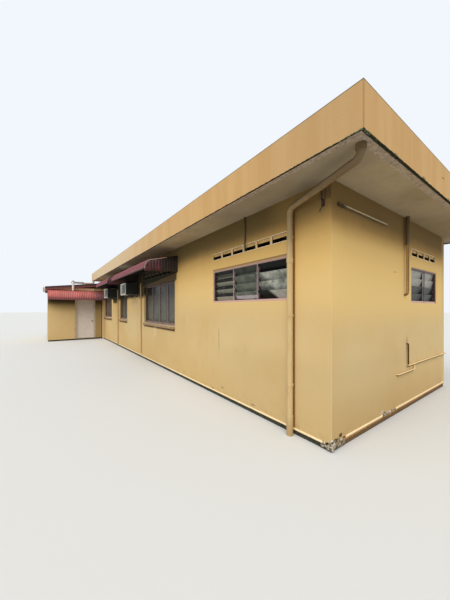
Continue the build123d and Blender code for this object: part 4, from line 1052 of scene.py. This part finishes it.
def footLip(name, wall, low, high, foot, head, material, seed):
    # A bar whose reach and edges wander along the wall: even random steps joined by straight lines
    look = footLook
    along = np.arange(low, high, look["step"])
    knots = np.arange(low, high + look["stepsPast"], look["coarseStep"])
    plain, coarseReach, fineReach = look["reach"]
    coarseDrop, fineDrop = look["drop"]
    grain = np.random.default_rng(seed)
    coarse = np.interp(along, knots, grain.random(len(knots)))
    fine = grain.random(len(along))
    reach = look["proud"] * (plain + coarseReach * coarse + fineReach * fine)
    drop = (head - foot) * (coarseDrop * coarse + fineDrop * fine)
    rings = [np.stack([along, -reach * out + (look["bury"] if out == 0 else 0.0),
                       foot + drop * wander + (head - foot) * level], axis=-1)
             for out, wander, level in look["profile"]]
    standOn(ringTube(name, onWall(np.stack(rings, axis=1), wall), material), "wall_plaster")


def lipPaint():
    # Pale broken render over darker grit
    box = paintBox("lipPlaster", footLook, "pale", roughness=0.9)
    grit = box.noise(30.0, 5, 0.7)
    box.coat("warm", box.fade(grit, 0.5, 0.75))
    box.coat("dark", box.patch(70.0, 0.6, 0.72, detail=3, seed=3.0), 0.5)
    return box.dress(grit, footLook["lipBump"])


def cornerRubble(name, material):
    # Lumps: circles from pole to pole whose radius is multiplied by 1 + a sum of random cosines. Every
    # third lies on the front; the last ones are chips that stand on the end wall's lip
    look = footLook
    grain = np.random.default_rng(look["rubbleSeed"])
    rows, sides = look["lumpGrid"]
    turns = np.linspace(look["lumpEnd"], math.pi - look["lumpEnd"], rows)
    polar, around = np.meshgrid(turns, circle(sides), indexing="ij")
    ball = np.stack([np.sin(polar) * np.cos(around), np.sin(polar) * np.sin(around), np.cos(polar)], axis=-1)
    points, faces = [], []
    for number in range(look["lumps"]):
        onFront = number % 3 == 0
        along = look["nearest"] + look["spread"][0 if onFront else 1] * grain.random() ** look["crowding"]
        chip = number - look["lumps"] + look["chips"]
        if chip >= 0:
            along = look["chipFrom"] + look["chipPitch"] * chip + grain.uniform(0, look["chipPlay"])
        size = grain.uniform(*look["lumpSize"]) * (look["frontSize"] if onFront else 1.0)
        waves = grain.normal(size=(look["lumpWaves"], 3)) * look["waveScale"]
        phases = grain.uniform(0, look["phaseReach"], look["lumpWaves"])
        swell = 1 + look["waveHeight"] * np.cos(ball @ waves.T + phases).sum(axis=-1)
        heap = look["heapEnd"] - look["heapFall"] * min(along, look["heapReach"])
        height = look["heapFoot"] + grain.random() * (look["heapFront"] if onFront else heap)
        height = max(look["settle"] * size, height)
        if chip >= 0:
            size, height, onFront = look["chipSize"] * size, look["chipLevel"], False
        middle = np.array((-along, -0.001, height) if onFront else (-0.005, along, height))
        lump = ball * (size * swell)[..., None] * np.array(look["frontFlat" if onFront else "endFlat"])
        faces += tubeFaces(rows, sides, len(points))
        points += (lump + middle + corner).reshape(-1, 3).tolist()
    standOn(turnOutward(meshObject(name, points, faces, material)), "wall_plaster")


def rubblePaint():
    # Broken brick and render: grey, white and dark cells
    box = paintBox("rubble", footLook, "gap", roughness=0.95)
    cell = box.noise(34.0, 4, 0.7)
    box.coat("brick", box.fade(cell, 0.4, 0.47))
    box.coat("white", box.fade(cell, 0.52, 0.58))
    return box.dress(box.noise(80.0, 4, 0.7), footLook["rubbleBump"])


lipMaterial = lipPaint()
for seed, (name, run) in enumerate(footLook["runs"].items(), 1):
    footLip(name, *run, lipMaterial, seed)
cornerRubble("cornerRubble", rubblePaint())

# Pipes: painted with the wall, worn in patches, and darker up under the soffit with soot, stain and
# painted shade
pipeLook = {
    "face": (216, 188, 134), "worn": (192, 152, 98), "dark": (122, 102, 70), "endDark": (122, 102, 72),
    "foot": (150, 116, 74), "conduit": (84, 62, 38), "edge": (44, 34, 20), "wall": (238, 208, 152),
    "thin": (182, 146, 92), "stainAndShade": (88, 60, 26), "lit": (244, 214, 158), "bumpHeight": 0.0005}
waterLook = {
    "level": 0.69, "radius": 0.011, "out": 0.024, "top": 1.04, "beside": 0.09, "bend": 0.022,
    "branchAt": 0.262, "branchReach": 0.655, "branchRadius": 0.0105, "collarRadius": 0.015,
    "collarLength": 0.056, "bury": 0.004}


def downpipePaint():
    # Wall colour worn in streaks, patchy soot above, painted shade of the soffit on the slanting run, and
    # painted shade on that run's upper edge as the camera sees it
    box = paintBox("downpipePaint", pipeLook, "face", roughness=0.6)
    box.coat("worn", box.patch(4.0, 0.4, 0.7, stretch=(6.0, 6.0, 0.6)), 0.5)
    box.coat("dark", box.fade("Z", 2.15, 2.6), box.patch(7.0, 0.2, 0.5, rough=0.7, seed=5.0), 0.6)
    level = box.plus(box.axis("Z"), box.sway(box.noise(9.0), 0.08))
    # Painted shade of the soffit over the slanting run
    box.coat("dark", box.fade(level, 2.83, 2.88, 0.95))
    box.coat("foot", box.fade("Z", 0.35, 0.02, 0.5))
    low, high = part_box("downpipe")
    run = Vector((high.x - low.x, low.y - high.y, 0.05))
    upward = run.cross((low + high) / 2 - camera.location).normalized()
    facing = box.put("ShaderNodeVectorMath", operation="DOT_PRODUCT")
    box.plug(facing.inputs[0], box.put("ShaderNodeNewGeometry").outputs["True Normal"])
    box.plug(facing.inputs[1], upward * math.copysign(1, upward.z))
    # Painted shade along the slanting run's upper edge, facing away from the camera
    box.coat("edge", box.fade(facing.outputs["Value"], 0.2, 0.6), box.fade("Z", 2.86, 2.9), 0.95)
    return box.dress(30.0, pipeLook["bumpHeight"])


def waterPipePaint():
    # The fall is dark; both level runs are painted light above and painted shade below
    box = paintBox("waterPipePaint", pipeLook, "wall", roughness=0.6, shine=0.1)
    radius = waterLook["radius"]
    box.coat("stainAndShade", box.window("Z", 0.715, 1.1, 0.01))
    # Painted light on the upper half and painted shade on the lower half of each level run
    for level in (waterLook["level"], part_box("water_pipe")[0].z + radius):
        tone = box.mix(box.fade("Z", level - 0.004, level + 0.003), "stainAndShade", "lit")
        box.coat(tone, box.near("Z", level, radius + 0.001, 0.001))
    return box.dress(30.0, pipeLook["bumpHeight"])


def thinPipePaint():
    # Worn wall colour, painted shade under the soffit above, and paler low on the one in the wing's corner
    box = paintBox("thinPipePaint", pipeLook, "face", roughness=0.6)
    box.coat("worn", box.patch(4.0, 0.4, 0.7, stretch=(6.0, 6.0, 0.6)))
    # Painted shade under the soffit
    box.coat("conduit", box.fade("Z", 2.3, 2.6, 0.9))
    box.coat("lit", box.fade("X", -12.8, -12.9), box.fade("Z", 2.0, 1.7))
    return box.dress(30.0, pipeLook["bumpHeight"])


def endPipePaint():
    # Stain and painted shade below the joint, painted shade along both flanks above it, and painted shade
    # at the top
    box = paintBox("endPipePaint", pipeLook, "thin", roughness=0.65)
    box.coat("foot", box.patch(9.0, 0.35, 0.7, 0.5))
    box.coat("stainAndShade", box.fade("Z", 1.86, 1.82, 0.7))
    # Painted shade on the flanks, found from the normal
    flank = box.fade(box.math("ABSOLUTE", box.axis("X", "Normal")), 0.5, 0.8, 0.85)
    box.coat("stainAndShade", flank, box.fade("Z", 1.84, 1.9))
    # Painted shade under the soffit
    box.coat("endDark", box.fade("Z", 2.588, 2.6))
    return box.dress(30.0, pipeLook["bumpHeight"])


# Round runs: steps round each bend, sides of a circle, a bend's longest share of its leg
runLook = {"bendSteps": 7, "sides": 14, "bendLimit": 0.45, "firstSide": (0.31, 0.2, 0.93)}


def bentRun(name, corners, bend, radius, material, slot, *replaced):
    # A round run with eased corners: round each, q(t) = (1 - t)^2 a + 2 t (1 - t) c + t^2 b between the
    # points a and b that lie a bend's length before and after the corner c; circles square to the run
    look = runLook
    corners = np.array(corners)
    share = np.linspace(0, 1, look["bendSteps"])[:, None]
    line = [corners[:1]]
    for before, middle, after in zip(corners, corners[1:], corners[2:]):
        ways = [other - middle for other in (before, after)]
        start, end = [middle + way * min(look["bendLimit"], bend / np.linalg.norm(way)) for way in ways]
        line.append((1 - share) ** 2 * start + 2 * share * (1 - share) * middle + share ** 2 * end)
    line = np.concatenate([*line, corners[-1:]])
    steps = np.diff(line, axis=0)
    steps /= np.linalg.norm(steps, axis=1, keepdims=True)
    run = np.concatenate([steps[:1], steps[:-1] + steps[1:], steps[-1:]])
    run /= np.linalg.norm(run, axis=1, keepdims=True)
    side = np.cross(run, look["firstSide"])
    for number in range(1, len(side)):
        side[number] = side[number - 1] - run[number] * np.dot(side[number - 1], run[number])
    side /= np.linalg.norm(side, axis=1, keepdims=True)
    other = np.cross(run, side)
    around = circle(look["sides"])[None, :, None]
    rings = line[:, None] + radius * (np.cos(around) * side[:, None] + np.sin(around) * other[:, None])
    standOn(ringTube(name, rings + corner, material), slot, *replaced)


conduitLook = {
    "places": (-1.47, -0.034, -0.084, -0.126), "radii": (0.0125, 0.01, 0.01, 0.01),
    "feet": (2.522, 2.845, 2.845, 2.845), "top": 3.045, "out": 0.016, "bend": 0.02}


def conduitRuns(material):
    # Upright runs of even radius under the soffit, one to the vents and three beside the corner
    look = conduitLook
    for number, (place, radius, foot) in enumerate(zip(look["places"], look["radii"], look["feet"])):
        levels = (look["top"], (look["top"] + foot) / 2, foot)
        bentRun(f"conduit{number}", [(place, -look["out"], height) for height in levels], look["bend"],
                radius, material, "pipe_paint", *(["conduits"] if number == 0 else []))


def waterPipeRuns(material):
    # The run leaves the wall, falls to its level and follows the wall round the corner; a branch hangs
    # from a collar and ends in the wall
    look = waterLook
    low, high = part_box("water_pipe")
    out, level, radius, bury = look["out"], look["level"], look["radius"], look["bury"]
    back, away, lower = high.y - cornerY - radius, low.x - cornerX + radius, low.z + radius
    start = (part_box("end_pipe")[0].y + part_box("end_pipe")[1].y) / 2 - cornerY + look["beside"]
    branch, half = start + look["branchAt"], look["collarLength"] / 2
    end = branch - look["branchReach"]
    runs = {"Run": (radius, (-bury, start, look["top"]), (out, start, look["top"]), (out, start, level),
                    (out, back, level), (away, back, level), (away, back - out - bury, level)),
            "Branch": (look["branchRadius"], (out, branch, level), (out, branch, lower), (out, end, lower),
                       (-bury, end, lower)),
            "Collar": (look["collarRadius"], *[(out, branch + side, level) for side in (-half, 0.0, half)])}
    for part, (size, *places) in runs.items():
        bentRun("waterPipe" + part, places, look["bend"], size, material, "pipe_paint",
                *(["water_pipe"] if part == "Run" else []))


# Small fittings: the end pipe, the corner hook, the pipe strap and the grilles of the two coolers
hookLook = {
    "radius": 0.0055, "bend": 0.02,
    "path": ((-0.102, 0.003, 2.79), (-0.102, -0.024, 2.785), (-0.11, -0.03, 2.745),
        (-0.126, -0.034, 2.73), (-0.122, -0.034, 2.708)),
    "plate": ((-0.12, -0.012, 2.77), (-0.086, 0.004, 2.86)), "strapAt": (-13.55, -0.93, 2.945),
    "strapWidth": 0.03, "strapSides": 40,
    "strapProfile": ((-0.5, 0.051), (-0.42, 0.0535), (0.42, 0.0535), (0.5, 0.051)),
    "fall": ((2.652, 0.029), (2.648, 0.0315), (2.604, 0.0315), (2.598, 0.0195), (1.9, 0.0195)),
    "fallOut": 0.045, "fallBury": 0.004, "bendSteps": 8, "fallSides": 20, "finPitch": 0.019,
    "finSize": (0.006, 0.006, 0.76), "finRise": 0.004, "finSpan": (0.2, 0.8), "finFoot": 0.12,
    "finBevel": 0.001, "plateBevel": 0.003,
    "metal": (58, 48, 44), "metalRust": (104, 70, 54), "fin": (150, 150, 146), "finDark": (112, 112, 108)}


def endPipeFall(name, material):
    # Circles down the pipe's run, wide to the joint, with a collar there and thin below, then round a
    # quarter bend into the wall: centre (out, height) = bend times (cos, sin) of the turned angle
    look = hookLook
    low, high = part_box("end_pipe")
    axisX, axisY = cornerX + look["fallOut"], (low.y + high.y) / 2
    bend = look["fallOut"] - look["fallBury"]
    thin = look["fall"][-1][1]
    foot = low.z + thin + bend
    lines = [(axisX, level, 0.0, size) for level, size in ((soffitZ, look["fall"][0][1]), *look["fall"])]
    lines += [(axisX - bend + bend * math.cos(angle), foot - bend * math.sin(angle), angle, thin)
              for angle in np.linspace(0, math.pi / 2, look["bendSteps"])]
    around = circle(look["fallSides"])
    rings = np.stack([np.stack([x + size * np.cos(around) * math.cos(angle), axisY + size * np.sin(around),
                                z - size * np.cos(around) * math.sin(angle)], axis=-1)
                      for x, z, angle, size in lines])
    standOn(ringTube(name, rings, material), "pipe_paint", "end_pipe")


def pipeStrap(name, material):
    # A band round the roof pipe: circles along its run, slightly smaller at both edges
    look = hookLook
    angle = circle(look["strapSides"])
    x, y, z = look["strapAt"]
    rings = np.stack([np.stack([x + size * np.cos(angle), np.full(len(angle), y + share * look["strapWidth"]),
                                z + size * np.sin(angle)], axis=-1) for share, size in look["strapProfile"]])
    standOn(ringTube(name, rings + corner, material), "steel_paint")


def coolerGrille(name, node, material):
    # Upright fins over the middle of the cooler's outer face, inside a thin border
    look = hookLook
    low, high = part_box(node)
    width, tall = high.x - low.x, high.z - low.z
    ends = [low.x + share * width for share in look["finSpan"]]
    along = np.arange(*ends, look["finPitch"])
    lows = np.stack([along, np.full(len(along), low.y - look["finRise"]),
                     np.full(len(along), low.z + look["finFoot"] * tall)], axis=-1)
    highs = lows + np.array([*look["finSize"][:2], look["finSize"][2] * tall])
    standOn(manyBlocks(name, lows, highs, material, look["finBevel"]), "cooler_case")


look = hookLook
darkMetal = plainPaint("darkMetal", look["metal"], look["metalRust"], 30.0, 0.5, metallic=0.4)
thinPaint = thinPipePaint()
endPipeFall("endPipeFall", endPipePaint())
waterPipeRuns(waterPipePaint())
conduitRuns(thinPaint)
bentRun("cornerHook", look["path"], look["bend"], look["radius"], darkMetal, "steel_paint")
wallBlocks("cornerHookPlate", *[[place] for place in look["plate"]], "front", darkMetal, "steel_paint",
           look["plateBevel"])
pipeStrap("roofPipeStrap", darkMetal)
finMaterial = plainPaint("finPaint", look["fin"], look["finDark"], 20.0, 0.5)
for side in ("near", "far"):
    coolerGrille(f"{side}CoolerGrille", f"{side}_cooler", finMaterial)
print("foot, rubble and fittings")

# Floor slabs: mossy green-grey on the long side, rust brown on the end side
slabLook = {
    "green": (68, 68, 50), "greenDark": (42, 44, 32), "brown": (204, 142, 74), "brownDark": (112, 84, 52),
    "bumpHeight": 0.003}


def slabPaint():
    # Two greens by noise; on the end side, beyond the corner, two browns by height
    box = paintBox("slabPaint", slabLook, "green", roughness=0.92)
    grit = box.noise(16.0, 5, 0.7)
    box.coat("greenDark", box.fade(grit, 0.38, 0.66))
    level = box.plus(box.axis("Z"), box.sway(grit, 0.06))
    brown = box.mix(box.fade(level, 0.06, 0.045), "brown", "brownDark")
    box.coat(brown, box.fade("X", -0.03, -0.012), box.fade("Y", -0.01, 0.06))
    return box.dress(box.noise(60.0, 4, 0.7), slabLook["bumpHeight"])


paintNodes(slabPaint(), "floor_slab", "wing_floor_slab")

# Casement frames: dull pink, with painted shade towards the head, and one dark jamb to each window;
# louvre frames: mauve
frameLook = {
    "pale": (138, 114, 106), "worn": (94, 74, 70), "dark": (52, 36, 34), "louvre": (150, 118, 122),
    "louvrePale": (226, 184, 168), "louvreDark": (84, 58, 62), "head": (64, 48, 48),
    "headPale": (210, 174, 158), "side": (58, 36, 38), "jamb": (-0.01, 0.043), "bumpHeight": 0.0005}


def casementPaint():
    # Worn patches by noise, then the dark jambs, and painted shade that grows with height
    box = paintBox("casementPaint", frameLook, "pale", roughness=0.5)
    box.coat("worn", box.patch(9.0, 0.45, 0.7, rough=0.65), 0.6)
    for opening in casements:
        box.coat("dark", box.window("X", *[opening["low"] + side for side in frameLook["jamb"]], 0.002))
    # Painted shade growing with height
    box.coat("dark", box.fade("Z", 1.6, 2.1, 0.8))
    box.coat("dark", box.fade("Z", 2.262, 2.268, 0.9))
    return box.dress(50.0, frameLook["bumpHeight"])


def louvreFramePaint():
    # Pale along the foot, painted shade on the members' sides and on the end window's mullion, striped
    # along the heads; the end window's jambs are pale near and dark far
    box = paintBox("louvreFramePaint", frameLook, "louvre", roughness=0.5)
    box.coat("louvreDark", box.patch(9.0, 0.45, 0.7, rough=0.65), 0.5)
    box.coat("louvrePale", box.fade("Z", 1.746, 1.742, 0.85))
    onEnd = box.fade("Y", 2.2, 2.3)
    box.coat("louvrePale", onEnd, box.fade("Y", 2.362, 2.358), 0.8)
    box.coat("louvreDark", onEnd, box.fade("Y", 3.566, 3.572), 0.9)
    across = box.mix(onEnd, *[box.math("ABSOLUTE", box.axis(name, "True Normal")) for name in "XY"])
    # Painted shade on faces turned sideways
    box.coat("side", box.fade(across, 0.5, 0.8, 0.85))
    box.coat(box.mix(onEnd, "headPale", "head"), box.fade("Z", 2.256, 2.262, 0.85))
    box.coat("headPale", onEnd, box.fade("Z", 2.278, 2.281, 0.8))
    endMiddle = (endLouvre["low"] + endLouvre["high"]) / 2
    box.coat("side", onEnd, box.near("Y", endMiddle, 0.012, 0.003), 0.85)
    box.coat("head", box.math("SUBTRACT", 1.0, onEnd), box.window("Z", 2.258, 2.278, 0.004), 0.6)
    return box.dress(50.0, frameLook["bumpHeight"])


paintNodes(casementPaint(), "window_frames")
paintNodes(louvreFramePaint(), "louvre_frames")
print("frames")

# Panes: dusty glass with curtains close behind it; the louvre blades are ribbed glass
paneLook = {
    "light": (116, 118, 102), "mid": (60, 62, 51), "deep": (28, 30, 24), "bladeLight": (222, 224, 212),
    "bladePale": (178, 176, 158), "bladeDark": (70, 78, 70), "bladeMid": (132, 138, 126),
    "bladeDeep": (24, 27, 25), "bright": (216, 214, 222), "endLight": (176, 174, 164),
    "endDark": (38, 44, 38), "foldPitch": 0.085, "bumpHeight": 0.0004}


def panePaint():
    # Curtain folds painted in light and shade by sin(2 pi x / pitch + noise); each pane is light in its
    # middle and dark at its sides, and its upper part sinks into the awning's shade
    box = paintBox("paneGlass", paneLook, "light", roughness=0.12, shine=0.1)
    wander = box.times(box.noise(2.0, 3), 9.0)
    phase = box.plus(box.times(box.axis("X"), 2 * math.pi / paneLook["foldPitch"]), wander)
    # Painted shade in the curtain folds
    box.coat("mid", box.plus(box.times(box.math("SINE", phase), 0.5), 0.5), 0.75)
    for low, high in panes:
        gap = box.math("ABSOLUTE", box.past("X", (low + high) / 2))
        side = box.fade(gap, 0.25 * (high - low), 0.5 * (high - low), 0.75)
        box.coat("deep", side, box.window("X", low, high, 0.001))
    box.coat("deep", box.fade("Z", 1.6, 2.25, 0.8))
    box.coat("deep", box.fade("Z", 1.34, 1.24, 0.55))
    box.coat("deep", box.patch(1.6, 0.45, 0.7, seed=4.0), 0.4)
    return box.dress(roughness=box.plus(box.times(box.patch(5.0, 0.3, 0.8), 0.2), 0.1))


def bladePaint():
    # row counts the blades up from the foot. Front window: pale stripes in the left bay with painted shade
    # in the gaps between them, a dim middle bay with one bright low blade, light middle rows in the right
    # bay. End window: the two upper rows are light
    box = paintBox("bladeGlass", paneLook, "bladeMid", roughness=0.25, shine=0.12)
    face = louvreLook["face"]
    pitch = (sideLouvre["head"] - sideLouvre["foot"] - 2 * face) / louvreLook["blades"]
    row = box.math("DIVIDE", box.past("Z", sideLouvre["foot"] + face), pitch)
    spots = box.noise(30.0, 3, 0.7)
    clouds = box.noise(5.0, seed=8.0)
    box.coat("bladeDark", box.fade(clouds, 0.4, 0.7))
    # Painted shade in the gaps between the blades
    gapDark = box.times(box.fade(box.math("FRACT", row), 0.52, 0.6), box.fade(spots, 0.72, 0.58))
    box.coat(box.mix(gapDark, "bladePale", "bladeDeep"), box.fade("X", -1.79, -1.81))
    lowBright = box.times(box.within(X=(-1.78, -1.24, 0.02)), box.fade(row, 0.6, 0.5))
    box.coat("bright", lowBright, box.fade(row, 0.12, 0.2), 0.85)
    middleRows = box.times(box.fade(row, 0.98, 1.02), box.fade(row, 3.0, 2.96))
    light = box.mix(box.fade(clouds, 0.35, 0.6), "bladeLight", "bladeMid")
    right = box.mix(middleRows, "bladeDeep", light)
    slant = box.plus(box.axis("X"), box.times(row, 0.14))
    lowPale = box.times(box.fade(slant, cornerX - 0.88, cornerX - 0.8), box.fade(row, 1.0, 0.9), 0.7)
    right = box.mix(lowPale, right, "bladeLight")
    topEdge = box.times(box.fade(row, 2.98, 3.0), box.fade(row, 3.12, 3.08))
    box.coat(box.mix(topEdge, right, "bright"), box.fade("X", -1.21, -1.19))
    box.coat("bladeDeep", box.fade(row, 3.15, 3.35, 0.75))
    endColor = box.mix(box.fade("Z", 1.985, 2.0), "endDark", "endLight")
    box.coat(endColor, box.fade("Y", 2.2, 2.3))
    box.coat("bladeDeep", box.patch(14.0, 0.4, 0.7, detail=3), 0.25)
    return box.dress(spots, paneLook["bumpHeight"])


paintNodes(panePaint(), "window_glass")
paintNodes(bladePaint(), "louvre_blades")
print("glass")

paintNodes(downpipePaint(), "downpipe", "pipe_clips")
paintNodes(thinPaint, "drain_pipes")

# Coolers: white cases with a grey middle outside, and near-black sides, mould and painted shade
coolerLook = {
    "white": (222, 224, 218), "worn": (186, 186, 176), "centre": (150, 152, 148), "side": (22, 27, 23),
    "border": 0.19, "foot": 0.1, "head": 0.04, "soft": 0.004, "bumpHeight": 0.0005}


def coolerPaint(name, node):
    # Worn white by noise; the middle block and both sides are found from the node's own box
    look = coolerLook
    low, high = [Vector(place) - Vector(corner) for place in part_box(node)]
    box = paintBox(name, look, "white", roughness=0.5)
    box.coat("worn", box.patch(5.0, 0.45, 0.7), 0.6)
    border = look["border"] * (high.x - low.x)
    box.coat("centre", box.window("X", low.x + border, high.x - border, look["soft"]),
             box.window("Z", low.z + look["foot"], high.z - look["head"], look["soft"]),
             box.fade("Y", low.y + 0.012, low.y + 0.008))
    # Painted shade with mould on both sides
    box.coat("side", box.fade("X", high.x - 0.007, high.x - 0.004))
    box.coat("side", box.fade("X", low.x + 0.007, low.x + 0.004))
    return box.dress(40.0, look["bumpHeight"])


for side in ("near", "far"):
    paintNodes(coolerPaint(f"{side}CoolerPaint", f"{side}_cooler"), f"{side}_cooler")

# Plainly painted nodes: two colours, the noise's scale, roughness, metallic, and the nodes
plainLook = {
    "sillPaint": ((222, 198, 158), (188, 156, 118), 5.0, 0.8, 0.0, "window_sills"),
    "lampPaint": ((124, 106, 74), (104, 88, 60), 6.0, 0.4, 0.0, "lamp_body"),
    "tubeGlass": ((190, 178, 142), (174, 160, 122), 6.0, 0.25, 0.0, "lamp_tube"),
    "steelPaint": ((50, 38, 36), (36, 28, 26), 8.0, 0.6, 0.0, "awning_frames", "cooler_brackets"),
    "bargePaint": ((124, 66, 60), (92, 48, 46), 5.0, 0.6, 0.0, "bargeboards"),
    "gutterPlastic": ((226, 226, 222), (196, 194, 186), 4.0, 0.5, 0.0, "wing_gutters"),
    "roofPipePlastic": ((226, 222, 214), (196, 190, 178), 4.0, 0.5, 0.0, "roof_water_pipe"),
    "doorFramePaint": ((206, 190, 164), (180, 160, 134), 5.0, 0.6, 0.0, "door_frame"),
    "doorPaint": ((228, 216, 204), (214, 200, 186), 3.0, 0.55, 0.0, "door_leaf"),
    "knobMetal": ((92, 70, 54), (60, 46, 38), 20.0, 0.35, 0.9, "door_knobs"),
    "hingeMetal": ((150, 148, 144), (120, 112, 100), 20.0, 0.4, 0.8, "frame_hinges", "leaf_hinges")}
stainLook = {"sill": (150, 114, 68), "sillFoot": (74, 52, 32), "weather": (112, 114, 110)}


def sillStain(box):
    # Brown front under the pale top, stain and painted shade, with painted shade along its foot
    stainAndShade = box.times(box.fade("Z", 1.158, 1.146), box.patch(8.0, 0.2, 0.55, rough=0.65), 0.8)
    box.coat(stainLook["sill"], stainAndShade)
    # Painted shade under the sill
    box.coat(stainLook["sillFoot"], box.fade("Z", 1.105, 1.09, 0.8))


def shadeLampEnd(box):
    # Painted shade over the near end of the lamp, as dark as the wall behind it
    box.coat(wallLook["lampEndShade"], box.fade("Y", 0.28, 0.2, 0.85))


def weathered(box):
    # The outer half of the roof pipe's level run is grey
    box.coat(stainLook["weather"], box.fade("Y", -0.9, -0.95), box.fade("Z", 2.92, 2.95), 0.85)


extras = {
    "sillPaint": sillStain, "lampPaint": shadeLampEnd, "tubeGlass": shadeLampEnd, "roofPipePlastic": weathered}
for name, (base, second, scale, roughness, metallic, *nodes) in plainLook.items():
    paintNodes(plainPaint(name, base, second, scale, roughness, metallic, extra=extras.get(name)), *nodes)
print("pipes, fittings and door")
